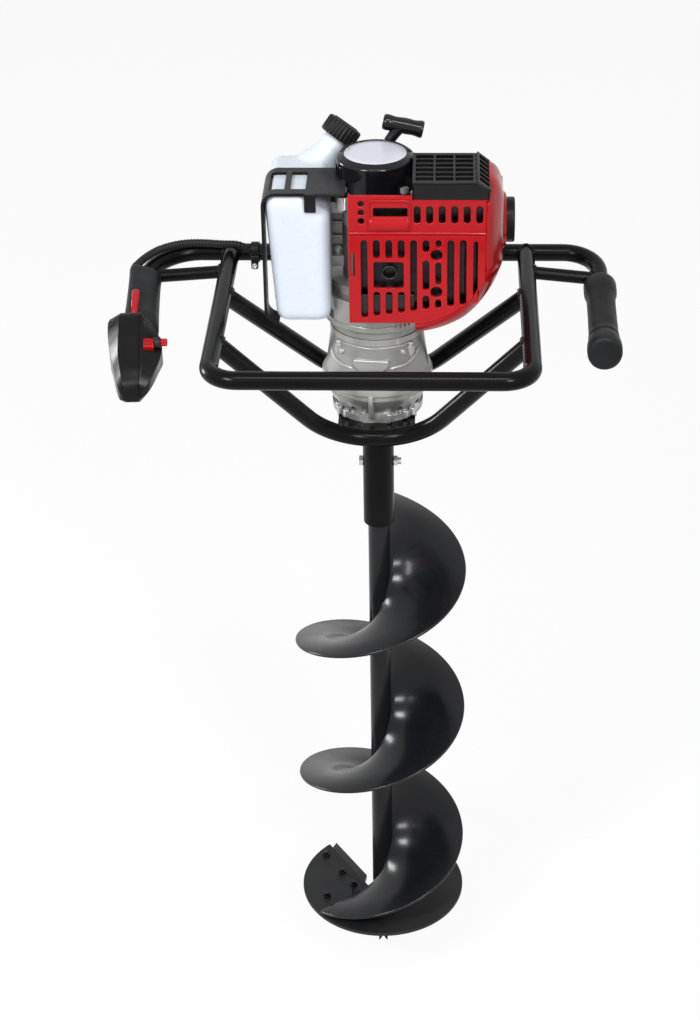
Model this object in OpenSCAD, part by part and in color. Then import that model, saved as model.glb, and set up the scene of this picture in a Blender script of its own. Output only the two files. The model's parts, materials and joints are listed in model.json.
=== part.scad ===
// Petrol earth auger: a two handed frame carries an engine and a reduction gearbox, which turn a screw drill.
// Millimetres, +Z up. The drill turns about the Z axis and the operator stands at -Y.
// The origin is on the drill's axis, at the shoulder where the pilot's round shank leaves its hub.

/* [Drill] */
// Radius of the screw flight and of the bottom disc
flight_r = 100; // [80:1:120]
// Turns of the flight
flight_turns = 2.65; // [2:0.05:3.2]
// Thickness of the flight plate
flight_t = 4; // [3:0.5:5]
// Thickness of the bottom disc
disc_t = 4; // [3:0.5:6]
// Outside diameter of the drill tube
drill_tube_d = 25; // [23:0.5:28]
// Wall of the drill tube
drill_tube_wall = 3; // [2:0.5:4]
// Length of the drill from the bottom disc to the top of its socket
drill_length = 655; // [640:1:720]
// Outside diameter of the drive socket
socket_d = 35; // [33:0.5:40]
// Length of the drive socket
socket_length = 118; // [110:1:120]
// Diameter of the pilot's shank
pilot_d = 14; // [13:0.5:18]
// Length of the pilot's shank
pilot_length = 47; // [30:1:60]
// Length of the pilot's fishtail point
fishtail_length = 37; // [25:1:50]
// Thickness of the cutter blade
blade_t = 5; // [4:0.5:6]

/* [Gearbox] */
// Diameter of the output shaft
output_d = 20; // [18:0.5:22]
// Tooth size of both gear stages
gear_module = 0.9; // [0.8:0.05:0.95]
// Teeth of the two large gears
gear_teeth = 60; // [56:4:60]
// Radius of the gearbox cases
case_r = 48; // [47:0.5:50]
// Height of the lower case
lower_case_h = 29; // [27:1:36]
// Height of the upper case
upper_case_h = 58; // [56:1:64]

/* [Frame] */
// Outside diameter of the frame tubes
tube_d = 19; // [17:0.5:20]
// Wall of the frame tubes
tube_wall = 2; // [1.5:0.5:3]
// Half width of the guard loop, to its tube's axis
loop_x = 162; // [155:1:170]
// Reach of the front bar before the drill's axis
loop_front = 246; // [230:1:260]
// Distance of the crossbar behind the drill's axis
bar_back = 63; // [63:0.5:66]
// Height of the guard loop's front bar above the mounting plate
loop_rise = 162; // [155:1:170]
// Radius of the guard loop's bends
loop_bend = 30; // [25:1:40]
// Radius of the right handle's bend
handle_bend = 38; // [34:1:42]
// Radius of the left handle's bend
left_bend = 58; // [50:1:60]
// Distance of the right handle from the drill's axis
right_x = 240; // [230:1:255]
// Distance of the left handle from the drill's axis
left_x = 254; // [245:1:265]
// Reach of the right handle before the crossbar
right_reach = 183; // [170:1:200]
// Reach of the left handle before the crossbar
left_reach = 194; // [188:1:198]
// Thickness of the mounting plate
plate_t = 6; // [4:0.5:8]
// Outside diameter of the right grip
grip_d = 30; // [27:0.5:34]
// Length of the right grip
grip_length = 122; // [110:1:124]

/* [Engine] */
// Height of the fan housing
fan_h = 50; // [50:1:56]
// Outside radius of the fan housing
fan_r = 50; // [49.5:0.5:51]
// Cylinder bore
bore_d = 36; // [34:0.5:37]
// Radius of the crank
crank_r = 14; // [12:0.5:14]
// Edge of the square cooling fins
fin_w = 74; // [66:1:76]
// Number of cooling fins
fin_count = 7; // [5:1:7]
// Radius of the recoil housing
recoil_r = 38.5; // [37:0.5:39]
// Height of the recoil housing
recoil_h = 38; // [36:1:42]

/* [Shroud] */
// Width of the shroud's front from its left edge to its widest point
shroud_w = 159; // [150:1:165]
// Distance of the shroud's front face before the drill's axis
shroud_front = 85; // [84:0.5:90]
// Wall of the shroud
shroud_wall = 2.5; // [2:0.25:3]
// Width of the cooling slots
slot_w = 6.8; // [5:0.2:8]
// Distance between cooling slots
slot_pitch = 12.8; // [11.5:0.1:13]

/* [Fuel] */
// Width of the fuel tank
tank_w = 67; // [60:1:68]
// Height of the fuel tank
tank_h = 143; // [130:1:146]
// Wall of the fuel tank
tank_wall = 2.5; // [2:0.25:3.5]
// Diameter of the filler cap
cap_d = 40; // [36:0.5:44]
// Height of the filler cap
cap_h = 19; // [15:0.5:22]

/* [Controls] */
// Width of the throttle housing
throttle_w = 56; // [54:0.5:60]
// Length of the throttle housing
throttle_length = 86; // [83:0.5:92]
// Diameter of the throttle cable's sleeve
cable_d = 7; // [5:0.5:7.5]
// Outside diameter of the ribbed conduit
conduit_d = 13; // [12:0.5:14]

/* [Hidden] */
$fn = 48;

// Clearances
weld_gap = 0.15;
running_gap = 0.05;
seat_gap = 0.1;
side_gap = 0.4;
cut = 1;

// Colours
black = [0.07, 0.07, 0.08];
dark = [0.14, 0.15, 0.17];
alloy = [0.64, 0.64, 0.62];
steel = [0.55, 0.56, 0.58];
red = [0.75, 0.05, 0.06];
white = [0.9, 0.92, 0.95];
rubber = [0.12, 0.12, 0.13];

// Heights of the drill
hub_h = 8;
hub_r = drill_tube_d / 2;
disc_z = hub_h;
disc_top = disc_z + disc_t;
socket_top = disc_z + drill_length;
socket_z = socket_top - socket_length;
tube_seat = 30;
tube_top = socket_z + tube_seat;
shaft_foot = tube_top + 16;
pin_z = socket_top - 40;
pin_d = 8;
pin_head_d = 12.8;
tube_inner_d = drill_tube_d - 2 * drill_tube_wall;
plug_h = 32;
flight_start = -140;
flight_steps = 42;
flight_gap = 15;
flight_pitch = (socket_z - flight_gap - flight_t - disc_top) / flight_turns;

// Cutting edge of the bottom disc
edge_angle = 123;
edge_offset = 9;
disc_edge_offset = 20;
gap_trail_angle = 46;
bolt_d = 6;
bolt_head_h = 4;
nut_w = 10;
bolt_offset = 36;
bolt_reach = [12, 40, 80];
rear_bolt = [-69, -32];
blade_back = 86;
blade_inner = 24;
edge_bevel = 25;

// Heights of the gearbox
neck_gap = 5;
neck_z = socket_top + neck_gap;
neck_h = 31;
neck_r = 25;
case_z = neck_z + neck_h;
plate_z = case_z - plate_t;
flange_h = 7;
flange_r = case_r + 2;
joint_r = case_r + 9;
case_top_r = case_r + 2;
lower_top = case_z + lower_case_h;
bearing_plate_h = 14;
upper_z = lower_top + bearing_plate_h;
upper_top = upper_z + upper_case_h;
case_floor = 5;
case_draft = 2;
lug_half = 15;
lug_rise = 11;
boss_r = 20;
boss_rise = 20;
boss_cap = 4;
shaft_end = 8;
shaft_inset = 6;
shaft_top = lower_top + bearing_plate_h - shaft_inset;
bearing_h = 10;
bearing_t = 9;
bearing_seat = 2;
neck_bore_r = output_d / 2 + bearing_t;
seal_seat = 5;

// Gear stages
pinion_teeth = 12;
pinion_rp = gear_module * pinion_teeth / 2;
gear_rp = gear_module * gear_teeth / 2;
gear_axis = [0, pinion_rp + gear_rp, 0];
gear_h = 16;
pressure_angle = 25;
addendum = 0.9;
dedendum = 1.25;
backlash = 0.12;
lower_gear_z = case_z + 7;
upper_gear_z = upper_z + 15;
layshaft_r = gear_module * (pinion_teeth / 2 - dedendum) - 0.1;
gear_room = 2.5;
case_wall = 3;
drum_shaft_r = 6;
input_bearing_z = upper_top - 16;
input_bearing_t = 8;

// Clutch, fan and crank heights
drum_gap = 3;
drum_z = upper_top + drum_gap;
drum_r = 40;
drum_wall = 2.5;
drum_h = 23;
shoe_gap = 1;
shoe_z = drum_z + drum_wall + shoe_gap * 3;
shoe_h = 14;
shoe_inner_r = 16;
shoe_split = 2;
fan_wall = 3.5;
fan_rim_rise = 12;
fan_rim_h = 6;
fan_rim_reach = 8;
fan_rim_slope = 4;
fan_top = upper_top + fan_h;
crankcase_foot = 8;
crank_rise = 69;
crank_z = fan_top + crank_rise;
crankcase_r = 36;
crankcase_rise = 39;
crankcase_top = crank_z + crankcase_rise;
flywheel_r = 43;
flywheel_z = fan_top - 16;
flywheel_h = 8;
blade_count = 14;
fan_blade_r = 18;
fan_blade_t = 2;
fan_blade_h = 6;
wheel_hub_r = 14;
wheel_hub_h = 18;
wheel_hub_drop = 4;
stud_place = 22;
stud_r = 3;
crank_shaft_r = 6;
web_r = 26;
web_t = 9.5;
web_gap = 15;
chamber_r = 29;
chamber_h = 20;
crank_bearing_t = 8;

// Piston and cylinder along +X
rod_length = 58;
piston_h = 26;
piston_skirt = 10;
piston_crown = 5;
piston_wall = 4;
wrist_r = 4.5;
crank_pin_r = 5;
rod_t = 12;
pin_inset = 3;
rod_half = 3.5;
rod_web = 2;
big_eye = 4;
small_eye = 3;
cylinder_foot = 40;
cylinder_end = 104;
spigot = 10;
liner_r = 23;
block_half = 30;
fin_start = 52;
fin_pitch = 7;
fin_t = 2.5;
head_t = 10;
plug_thread_r = 5;
plug_hex_h = 8;
plug_insulator = 9;
plug_insulator_r = 4.5;
plug_tip = 4;
plug_tip_r = 3;
seat_t = 6;
spigot_r = liner_r - 3;
post_places = [[-20, 26], [20, 26]];
post_d = 9;
port_x = 74;
port_half = 11;
port_reach = 45;
port_r = 7;

// Exhaust and intake
muffler_gap = 0.3;
muffler_depth = 31;
muffler_x = [-4, 84];
muffler_low = 60;
muffler_high = 16;
tail_x = 16;
tail_rise = -25;
tail_r = 8;
tail_length = 4;
tail_wall = 1.5;
muffler_wall = 2;
carb_gap = 0.3;
carb_length = 30;
carb_half = 14;
carb_high = 19;
cleaner_depth = 28;
cleaner_half = 28;
cleaner_high = 30;
cleaner_wall = 2;
vent_pitch = 9;
vent_half = 20;
vent_w = 4;
arm_r = 3;
arm_length = 18;
arm_t = 4;
arm_angle = -120;

// Shroud, measured from the crank's height
shroud_left = -26;
shroud_right = shroud_left + shroud_w;
shroud_back = 32;
shroud_high = 69;
shroud_left_high = 64;
shroud_shelf = 59;
fin_back = -15;
fin_low = 41;
shroud_low = -80;
shroud_step_low = -97;
shroud_step_x = 43;
shroud_open_w = 30;
shroud_open_h = 60;
shroud_lip = 12;
belly_centre = [35, 8];
belly_r = 103;
belly_bevel = 13;
belly_bevel_depth = 10;
corner_x = 17;
corner_y = 35;
slot_first = -9.8;
slot_low = -74;
slot_climb = 1.9;
slot_high = 15;
upper_slot_first = 45;
upper_slot_low = 33;
upper_slot_high = 52;
upper_slot_count = 6;
lower_slot_count = 10;
window_x = [0, 31];
window_z = [-40, -10];
grille_hole_r = 6.1;
grille_holes = [-2, -44];
split_slots = [[-64, -48], [-42, -8], [1, 15]];
grille_column = 6;
grille_shift = 2;
grille_land = 8.5;
window_land = 4;
panel_x = [-5, 37.5];
panel_z = [27, 58];
panel_depth = 1.2;
panel_slot_x = [0, 35];
panel_slot_z = [40.5, 50];
small_hole_r = 2.2;
small_holes = [36, 45, 54];
small_hole_x = -12;
slit_x = -23.5;
slit_w = 3.5;
slit_z = [-26, 0];
cover_r = 24;
cover_t = 9;
cover_seat = 3;
boss_wall = 4;
boss_depth = 29;
boss_end = shroud_right + 5;

// Louvred cover on the shroud's shelf
louvre_x = [40, 119];
louvre_back = -6;
louvre_h = 19;
louvre_wall = 2.5;
louvre_rows = 6;
louvre_columns = 4;
louvre_rib = 2.6;

// Recoil starter
recoil_z = crankcase_top;
recoil_top = recoil_z + recoil_h;
recoil_wall = 2.5;
recoil_roof = 6;
badge_t = 1.6;
badge_r = recoil_r - 5.5;
post_r = 6;
pulley_r = 27;
pulley_h = 10;
pulley_rise = 4;
pulley_z = recoil_z + pulley_rise;
rope_d = 3.5;
pull_dir = [0.6, 0.22, 0.77];
rope_exit = [5, 41, recoil_z + 21];
grip_rise = 12;
guide_length = 9;
guide_r = 6;
rope_room = 1.5;
stem_length = 26;
stem_foot_d = 9;
stem_head_d = 12;
pull_grip_w = 46;
pull_grip_d = 15;

// Fuel tank and its guard
tank_left = -114;
tank_front = -60;
tank_foot = -91;
tank_z = crank_z + tank_foot;
tank_round = 12;
tank_low_back = 20;
tank_high_back = 58;
tank_bevel = 18;
tank_taper = 9;
tank_shoulder = 45;
tank_arms = [-50, 12];
arm_half = 11;
arm_h = 12;
cap_axis = [0.57, 0.28, 0.77];
cap_rise = 75;
cap_centre = [-38, 62, crank_z + cap_rise];
neck_d = 26;
neck_wall = 2.5;
neck_length = 38;
neck_reach = 4;
cap_wall = 3;
knurl = 2;
knurl_w = 3;
knurl_count = 18;
guard_t = 3;
guard_gap = 0.3;
guard_back = 8;
guard_band = 24;
guard_round = tank_round + guard_gap;
guard_end = -30;
guard_windows = [tank_left + 5, tank_left + 27];
window_w = 16;
window_rim = 12;
hook_x = [-72, -60];
hook_h = 20;

// Frame paths
tube_r = tube_d / 2;
tube_bore = tube_d - 2 * tube_wall;
loop_z = plate_z + loop_rise;
bar_drop = 4;
bar_z = loop_z - bar_drop;
elbow_relief = 0.05;
elbow_lap = 1;
right_drop = 27;
left_drop = 24.5;
left_toe = 11;
right_corner = [right_x, bar_back, bar_z];
left_corner = [-left_x, bar_back, bar_z];
right_end = right_corner + [0, -right_reach, -right_drop];
left_end = left_corner + [left_toe, -left_reach, -left_drop];
handle_path = [left_end, left_corner, right_corner, right_end];
handle_bends = [0, left_bend, handle_bend, 0];
front_v_y = -160;
front_v_drop = 65;
front_v_apex = [0, -38.5, plate_z - front_v_drop];
front_v_bend = 85;
rear_v_y = -45;
rear_v_drop = 48;
rear_v_apex = [0, 106, plate_z - rear_v_drop];
rear_v_bend = 80;
brace_d = 14;
brace_room = 4.3;
left_brace_y = 12;
right_brace_y = (right_end + grip_length * unit(right_corner - right_end))[1] + brace_d / 2 + brace_room;
plate_w = 84;
plate_front = -76;
plate_rear = 68;
plate_trim = 4;

// Screws of the gearbox flange and the recoil housing
screw_d = 5;
screw_head_d = 9;
screw_head_h = 5;
screw_grip = 10;
flange_screw_r = case_r - 1.5;
flange_screw_angles = [-120, -60, -152, -28, 40, 140];
recoil_screw_r = recoil_r + screw_head_d / 2 + 0.5;
recoil_screw_angles = [-140, -45, 48, 122];
lug_r = 7;
lug_h = 5;
ear_h = 14;
ear_half = 5;

// Handle fittings, measured along each handle from its corner
grip_flange_d = 36;
grip_flange_h = 14;
grip_cap = 6;
grip_collar = 1.5;
collar_h = 22;
grip_slope = 4;
left_grip_start = 62;
left_grip_end = 150;
left_grip_d = 36;
throttle_start = left_grip_end + side_gap;
throttle_wall = 2.5;
throttle_top = 25;
throttle_round = 6;
throttle_mouth = 12;
throttle_far = throttle_start + 2 * throttle_length;
throttle_sections = [[0, [-0.6, 0.25], [-40, throttle_top]],
                     [0.52, [-0.54, 0.46], [-40, 19]],
                     [1, [-0.3, 0.14], [-38, -6]]];
pin_r = 2;
trigger_pivot = [0, -25, 180];
trigger_pin = 22;
trigger_w = 12;
trigger_t = 6;
trigger_length = 70;
trigger_droop = 8;
lock_pivot = [-6, 22, 166];
lock_pin = 16;
lock_w = 8;
lock_t = 4.5;
lock_length = 48;
lock_lift = 5;
switch_low = [5, 13, 182];
switch_size = [11, 12, 12];
switch_travel = 6;
block_wall = 4;
button_place = [20, 11, 194];
button_d = 9;
button_length = 12;
button_travel = 3;
control_room = 0.4;
rib_places = [160, 188];
rib_t = 4;
rib_half = 13;

// Route of the throttle cable
conduit_y = 49;
conduit_z = bar_z + 9.5;
conduit_x = [-140, -62];
conduit_pitch = 4;
conduit_rib = 1.4;
conduit_bore = cable_d + 0.8;
clamp_x = -138.5;
clamp_w = 8;
clamp_t = 2;
arm_z = crank_z + carb_high;
cable_side = -11;
cable_height = 15.6;
groove = cable_d / 2 + side_gap;
cable_handle = [158, 126, 92, 60];
cable_bend = [[-259, 11, 9], [-251, 26, 11], [-238.5, 40.5, 13], [-221.5, 50.5, 14.2], [-205, 54, 14.8],
              [-188, 53, 15.2], [-172, 50, 15.5], [-154, 49, 15.2], [-143, 49, 10.5]];
cable_rise = [[-40, 51, 4], [-20, 56, 12], [4, 59, 28], [20, 57, 48], [32, 52, 66], [40, 49, 76]];

// Directions and placing
function unit(v) = v / norm(v);
function point_at(a, b, y) = a + (b - a) * (a[1] - y) / (a[1] - b[1]);
function turn_angle(a, b, c) = acos(unit(b - a) * unit(c - b));
function bend_at(bend, i) = is_list(bend) ? bend[i] : bend;
function tangent_length(path, i, bend) =
  bend_at(bend, i) * tan(turn_angle(path[i - 1], path[i], path[i + 1]) / 2);

// Places local +Z along a direction at a point
module along(point, direction) {
  tilt = acos(direction[2] / norm(direction));
  translate(point) rotate([0, tilt, atan2(direction[1], direction[0])]) children();
}

// Round bar between two points
module rod(a, b, d) {
  along(a, b - a) cylinder(h = norm(b - a), d = d);
}

// Bend of a tube at point b, a little thinner than the straight runs that it joins
module elbow(a, b, c, bend, d) {
  u = unit(b - a);
  v = unit(c - b);
  angle = turn_angle(a, b, c);
  side = unit(v - (v * u) * u);
  centre = b - bend * tan(angle / 2) * u + bend * side;
  axis = cross(-side, u);
  lap = elbow_lap / bend * 180 / PI;
  multmatrix([[-side[0], u[0], axis[0], centre[0]],
              [-side[1], u[1], axis[1], centre[1]],
              [-side[2], u[2], axis[2], centre[2]],
              [0, 0, 0, 1]])
    rotate([0, 0, -lap])
      rotate_extrude(angle = angle + 2 * lap)
        translate([bend, 0]) circle(d = d - 2 * elbow_relief);
}

// Round bar along a path, with one bend radius or one for each corner
module bent_bar(path, bend, d) {
  last = len(path) - 1;
  for (i = [0 : last - 1]) {
    u = unit(path[i + 1] - path[i]);
    start = i == 0 ? 0 : tangent_length(path, i, bend);
    stop = i == last - 1 ? 0 : tangent_length(path, i + 1, bend);
    rod(path[i] + start * u, path[i + 1] - stop * u, d);
  }
  for (i = [1 : last - 1]) elbow(path[i - 1], path[i], path[i + 1], bend_at(bend, i), d);
}

// Path whose two ends are drawn out by a length
function drawn_out(path, extra) = let (last = len(path) - 1) [
  for (i = [0 : last])
    i == 0 ? path[0] + extra * unit(path[0] - path[1]) :
    i == last ? path[last] + extra * unit(path[last] - path[last - 1]) : path[i]
];

// Hollow tube along a path
module bent_tube(path, bend) {
  difference() {
    bent_bar(path, bend, tube_d);
    bent_bar(drawn_out(path, cut), bend, tube_bore);
  }
}

// Frame of a handle: local +X to the right, +Y up and +Z along the handle from its corner
module on_handle(corner, end) {
  z = unit(end - corner);
  x = unit(cross([0, 0, 1], z));
  y = cross(z, x);
  multmatrix([[x[0], y[0], z[0], corner[0]],
              [x[1], y[1], z[1], corner[1]],
              [x[2], y[2], z[2], corner[2]],
              [0, 0, 0, 1]]) children();
}

// Slot with round ends between two heights, cut along Y
module slot(x, low, high, width, y, depth) {
  r = width / 2;
  translate([x - r, y, low + r]) cube([width, depth, high - low - width]);
  for (z = [low + r, high - r]) translate([x, y, z]) rotate([-90, 0, 0]) cylinder(h = depth, r = r);
}

// Raises its children
module lift(z) {
  translate([0, 0, z]) children();
}

// Box between two corners
module box(low, high) {
  translate(low) cube(high - low);
}

// Cylinder along +X
module bar_x(x, y, z, length, r) {
  translate([x, y, z]) rotate([0, 90, 0]) cylinder(h = length, r = r);
}

// Cylinder along +Y
module bar_y(x, y, z, length, r) {
  translate([x, y, z]) rotate([-90, 0, 0]) cylinder(h = length, r = r);
}

// Cap screw with its head on a face, its axis pointing up
module cap_screw(grip) {
  cylinder(h = screw_head_h, d = screw_head_d);
  lift(-grip) cylinder(h = grip + cut, d = screw_d);
}

// Ring of a ball bearing
module bearing(z, inner_r, outer_r) {
  lift(z) difference() {
    cylinder(h = bearing_h, r = outer_r);
    lift(-cut) cylinder(h = bearing_h + 2 * cut, r = inner_r);
  }
}

// Involute gear with one tooth centred on +X
function inv(angle) = tan(angle) * 180 / PI - angle;
function half_tooth(r, rp, rb, teeth) =
  90 / teeth + inv(pressure_angle) - inv(acos(rb / r)) - backlash / rp / 2 * 180 / PI;
module gear(teeth, h) {
  rp = gear_module * teeth / 2;
  rb = rp * cos(pressure_angle);
  tip = rp + gear_module * addendum;
  root = rp - gear_module * dedendum;
  base = max(rb + 0.001, root);
  flank = [for (i = [0 : 3]) base + (tip - base) * i / 3];
  points = [for (t = [0 : teeth - 1]) each [
    [root, -half_tooth(base, rp, rb, teeth) + t * 360 / teeth],
    for (r = flank) [r, -half_tooth(r, rp, rb, teeth) + t * 360 / teeth],
    for (i = [3 : -1 : 0]) [flank[i], half_tooth(flank[i], rp, rb, teeth) + t * 360 / teeth],
    [root, half_tooth(base, rp, rb, teeth) + t * 360 / teeth]
  ]];
  linear_extrude(h) polygon([for (p = points) p[0] * [cos(p[1]), sin(p[1])]]);
}

// Point beside the cutting edge, by its distance behind the axis and its reach along the edge
function edge_point(offset, reach) =
  reach * [cos(edge_angle), sin(edge_angle)] + offset * [-sin(edge_angle), cos(edge_angle)];

// Places of the bolts through the disc
function bolt_places() = concat([for (reach = bolt_reach) edge_point(bolt_offset, reach)], [rear_bolt]);

module pilot_point() {
  color(dark) {
    lift(-pilot_length) cylinder(h = pilot_length, d = pilot_d);
    cylinder(h = hub_h - seat_gap, r = hub_r);
    cylinder(h = hub_h + plug_h, d = tube_inner_d - 2 * running_gap);
    fishtail();
  }
}

// Flat two pronged point under the pilot's shank
module fishtail() {
  half = pilot_d / 2 - 1;
  thick = pilot_d / 3;
  top = -pilot_length + cut;
  foot = -pilot_length - fishtail_length;
  notch = fishtail_length / 4;
  outline = [[-half, top], [half, top], [half * 0.9, foot], [half * 0.45, foot + notch / 3],
             [0, foot + notch], [-half * 0.45, foot + notch / 3], [-half * 0.9, foot]];
  translate([0, thick / 2, 0]) rotate([90, 0, 0]) linear_extrude(thick) polygon(outline);
}

module base_disc() {
  reach = 2 * flight_r;
  color(dark) difference() {
    lift(disc_z) cylinder(h = disc_t, r = flight_r);
    lift(disc_z - cut) cylinder(h = disc_t + 2 * cut, r = drill_tube_d / 2 + weld_gap);
    lift(disc_z - cut) linear_extrude(disc_t + 2 * cut)
      polygon([edge_point(disc_edge_offset, 0), edge_point(disc_edge_offset, reach),
               reach * [cos(gap_trail_angle), sin(gap_trail_angle)], [0, 0]]);
    for (p = bolt_places())
      translate([p[0], p[1], disc_z - cut]) cylinder(h = disc_t + 2 * cut, d = bolt_d + 2 * running_gap);
  }
}

module cutter_blade() {
  top = disc_z - seat_gap;
  color(steel) difference() {
    intersection() {
      lift(top - blade_t) linear_extrude(blade_t)
        polygon([edge_point(edge_offset, blade_inner), edge_point(edge_offset, flight_r),
                 edge_point(blade_back, flight_r / 2), edge_point(blade_back, -blade_inner / 2),
                 edge_point(bolt_offset, -blade_inner / 4)]);
      lift(top - 2 * blade_t) cylinder(h = 3 * blade_t, r = flight_r);
    }
    // Ground bevel along the cutting edge
    rotate([0, 0, edge_angle]) translate([-flight_r, edge_offset, top - blade_t])
      rotate([-edge_bevel, 0, 0]) translate([0, -2 * blade_t, -blade_t])
        cube([3 * flight_r, 8 * blade_t, blade_t]);
    for (p = bolt_places())
      translate([p[0], p[1], 0]) cylinder(h = disc_top, d = bolt_d + 2 * running_gap);
  }
}

module blade_bolts() {
  foot = disc_z - seat_gap - blade_t - seat_gap;
  color(steel) for (p = bolt_places()) translate([p[0], p[1], 0]) {
    lift(foot - bolt_head_h) cylinder(h = bolt_head_h, d = nut_w, $fn = 6);
    lift(foot - cut) cylinder(h = disc_top - foot + 2 * bolt_head_h, d = bolt_d);
    lift(disc_top + seat_gap) cylinder(h = bolt_head_h, d = nut_w, $fn = 6);
  }
}

module drill_tube() {
  color(dark) lift(disc_z) difference() {
    cylinder(h = tube_top - disc_z - seat_gap, d = drill_tube_d);
    lift(-cut) cylinder(h = tube_top, d = tube_inner_d);
  }
}

// Helical plate from the bottom disc up the tube
module drill_flight() {
  n = ceil(flight_turns * flight_steps);
  inner = drill_tube_d / 2 + weld_gap * 2;
  rings = [for (i = [0 : n]) let (a = 360 * flight_turns * i / n, t = flight_start + a,
                                  z = disc_top + weld_gap + flight_pitch * a / 360)
    each [[inner * cos(t), inner * sin(t), z], [flight_r * cos(t), flight_r * sin(t), z],
          [flight_r * cos(t), flight_r * sin(t), z + flight_t],
          [inner * cos(t), inner * sin(t), z + flight_t]]];
  sides = [for (i = [0 : n - 1], k = [0 : 3]) let (a = 4 * i + k, b = 4 * i + (k + 1) % 4)
    each [[a, b + 4, b], [a, a + 4, b + 4]]];
  last = 4 * n;
  ends = [[0, 1, 2], [0, 2, 3], [last, last + 2, last + 1], [last, last + 3, last + 2]];
  color(dark) polyhedron(points = rings, faces = concat(sides, ends), convexity = 12);
}

module drive_socket() {
  color(black) difference() {
    lift(socket_z) cylinder(h = socket_length, d = socket_d);
    lift(socket_z - cut) cylinder(h = tube_seat + cut, d = drill_tube_d + 2 * running_gap);
    lift(shaft_foot - seat_gap) cylinder(h = socket_length, d = output_d + 2 * running_gap);
    bar_x(-socket_d, 0, pin_z, 2 * socket_d, pin_d / 2 + running_gap);
  }
}

module drive_pin() {
  reach = socket_d / 2 + seat_gap;
  color(steel) {
    bar_x(-reach - bolt_head_h, 0, pin_z, 2 * reach + 3 * bolt_head_h, pin_d / 2);
    for (x = [-reach - bolt_head_h, reach])
      translate([x, 0, pin_z]) rotate([0, 90, 0]) cylinder(h = bolt_head_h, d = pin_head_d, $fn = 6);
  }
}

module output_shaft() {
  color(steel) difference() {
    lift(shaft_foot) cylinder(h = shaft_top - shaft_foot, d = output_d);
    bar_x(-output_d, 0, pin_z, 2 * output_d, pin_d / 2 + running_gap);
  }
}

module output_gear() {
  color(steel) lift(lower_gear_z) difference() {
    rotate([0, 0, 90]) gear(gear_teeth, gear_h);
    lift(-cut) cylinder(h = gear_h + 2 * cut, r = output_d / 2 + running_gap / 2);
  }
}

// Layshaft with the first stage's large gear and the second stage's pinion
module intermediate_gear() {
  foot = case_z + case_floor / 2;
  color(steel) translate(gear_axis) {
    lift(foot) cylinder(h = upper_top - shaft_end - foot, r = layshaft_r);
    lift(lower_gear_z) rotate([0, 0, 180 / pinion_teeth]) gear(pinion_teeth, gear_h);
    lift(upper_gear_z) gear(gear_teeth, gear_h);
  }
}

// Clutch drum on the input pinion's shaft
module clutch_drum() {
  color(steel) {
    lift(upper_gear_z) rotate([0, 0, 180 / pinion_teeth]) gear(pinion_teeth, gear_h + cut);
    lift(upper_gear_z + gear_h)
      cylinder(h = drum_z - upper_gear_z - gear_h + cut, r = drum_shaft_r);
    difference() {
      lift(drum_z) cylinder(h = drum_h, r = drum_r);
      lift(drum_z + drum_wall) cylinder(h = drum_h, r = drum_r - drum_wall);
    }
  }
}

module lower_case() {
  floor_z = case_z + case_floor;
  color(alloy) difference() {
    union() {
      lift(neck_z) cylinder(h = neck_h + cut, r = neck_r);
      lift(case_z) cylinder(h = flange_h, r = flange_r);
      lift(case_z + flange_h - cut)
        cylinder(h = lower_case_h - flange_h + cut, r1 = case_r - case_draft, r2 = joint_r);
      // Lug at the front, over the plate
      box([-lug_half, -flange_r, case_z], [lug_half, 0, case_z + lug_rise]);
    }
    lift(neck_z - cut) cylinder(h = seal_seat + bearing_h + cut, r = neck_bore_r + running_gap);
    lift(neck_z) cylinder(h = lower_case_h + neck_h, r = output_d / 2 + gear_room);
    lift(floor_z) cylinder(h = lower_case_h, r = gear_rp + gear_module + gear_room);
    translate(gear_axis + [0, 0, floor_z])
      cylinder(h = lower_case_h, r = pinion_rp + gear_module + gear_room);
    translate(gear_axis + [0, 0, case_z + case_floor / 2 - seat_gap])
      cylinder(h = lower_case_h, r = layshaft_r + running_gap);
    for (a = flange_screw_angles) rotate([0, 0, a]) translate([flange_screw_r, 0, case_z]) {
      lift(-cut) cylinder(h = lower_case_h, d = screw_d + 2 * running_gap);
      lift(flange_h) cylinder(h = 2 * screw_head_h, d = screw_head_d + 2 * side_gap);
    }
  }
}

// Outline of the upper gearbox with a bulge over the layshaft
module upper_outline(z, h, r) {
  lift(z) cylinder(h = h, r = r);
  translate(gear_axis + [0, 0, z]) cylinder(h = h, r = gear_rp + gear_module + gear_room + case_wall);
}

module bearing_plate() {
  z = lower_top + seat_gap;
  color(alloy) difference() {
    upper_outline(z, bearing_plate_h - 2 * seat_gap, joint_r);
    lift(z + bearing_seat)
      cylinder(h = bearing_plate_h, r = output_d / 2 + input_bearing_t + running_gap);
    lift(z - cut) cylinder(h = bearing_plate_h, r = output_d / 2 + gear_room);
    translate(gear_axis + [0, 0, z - cut])
      cylinder(h = bearing_plate_h + 2 * cut, r = pinion_rp + gear_module + gear_room / 2);
  }
}

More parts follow.
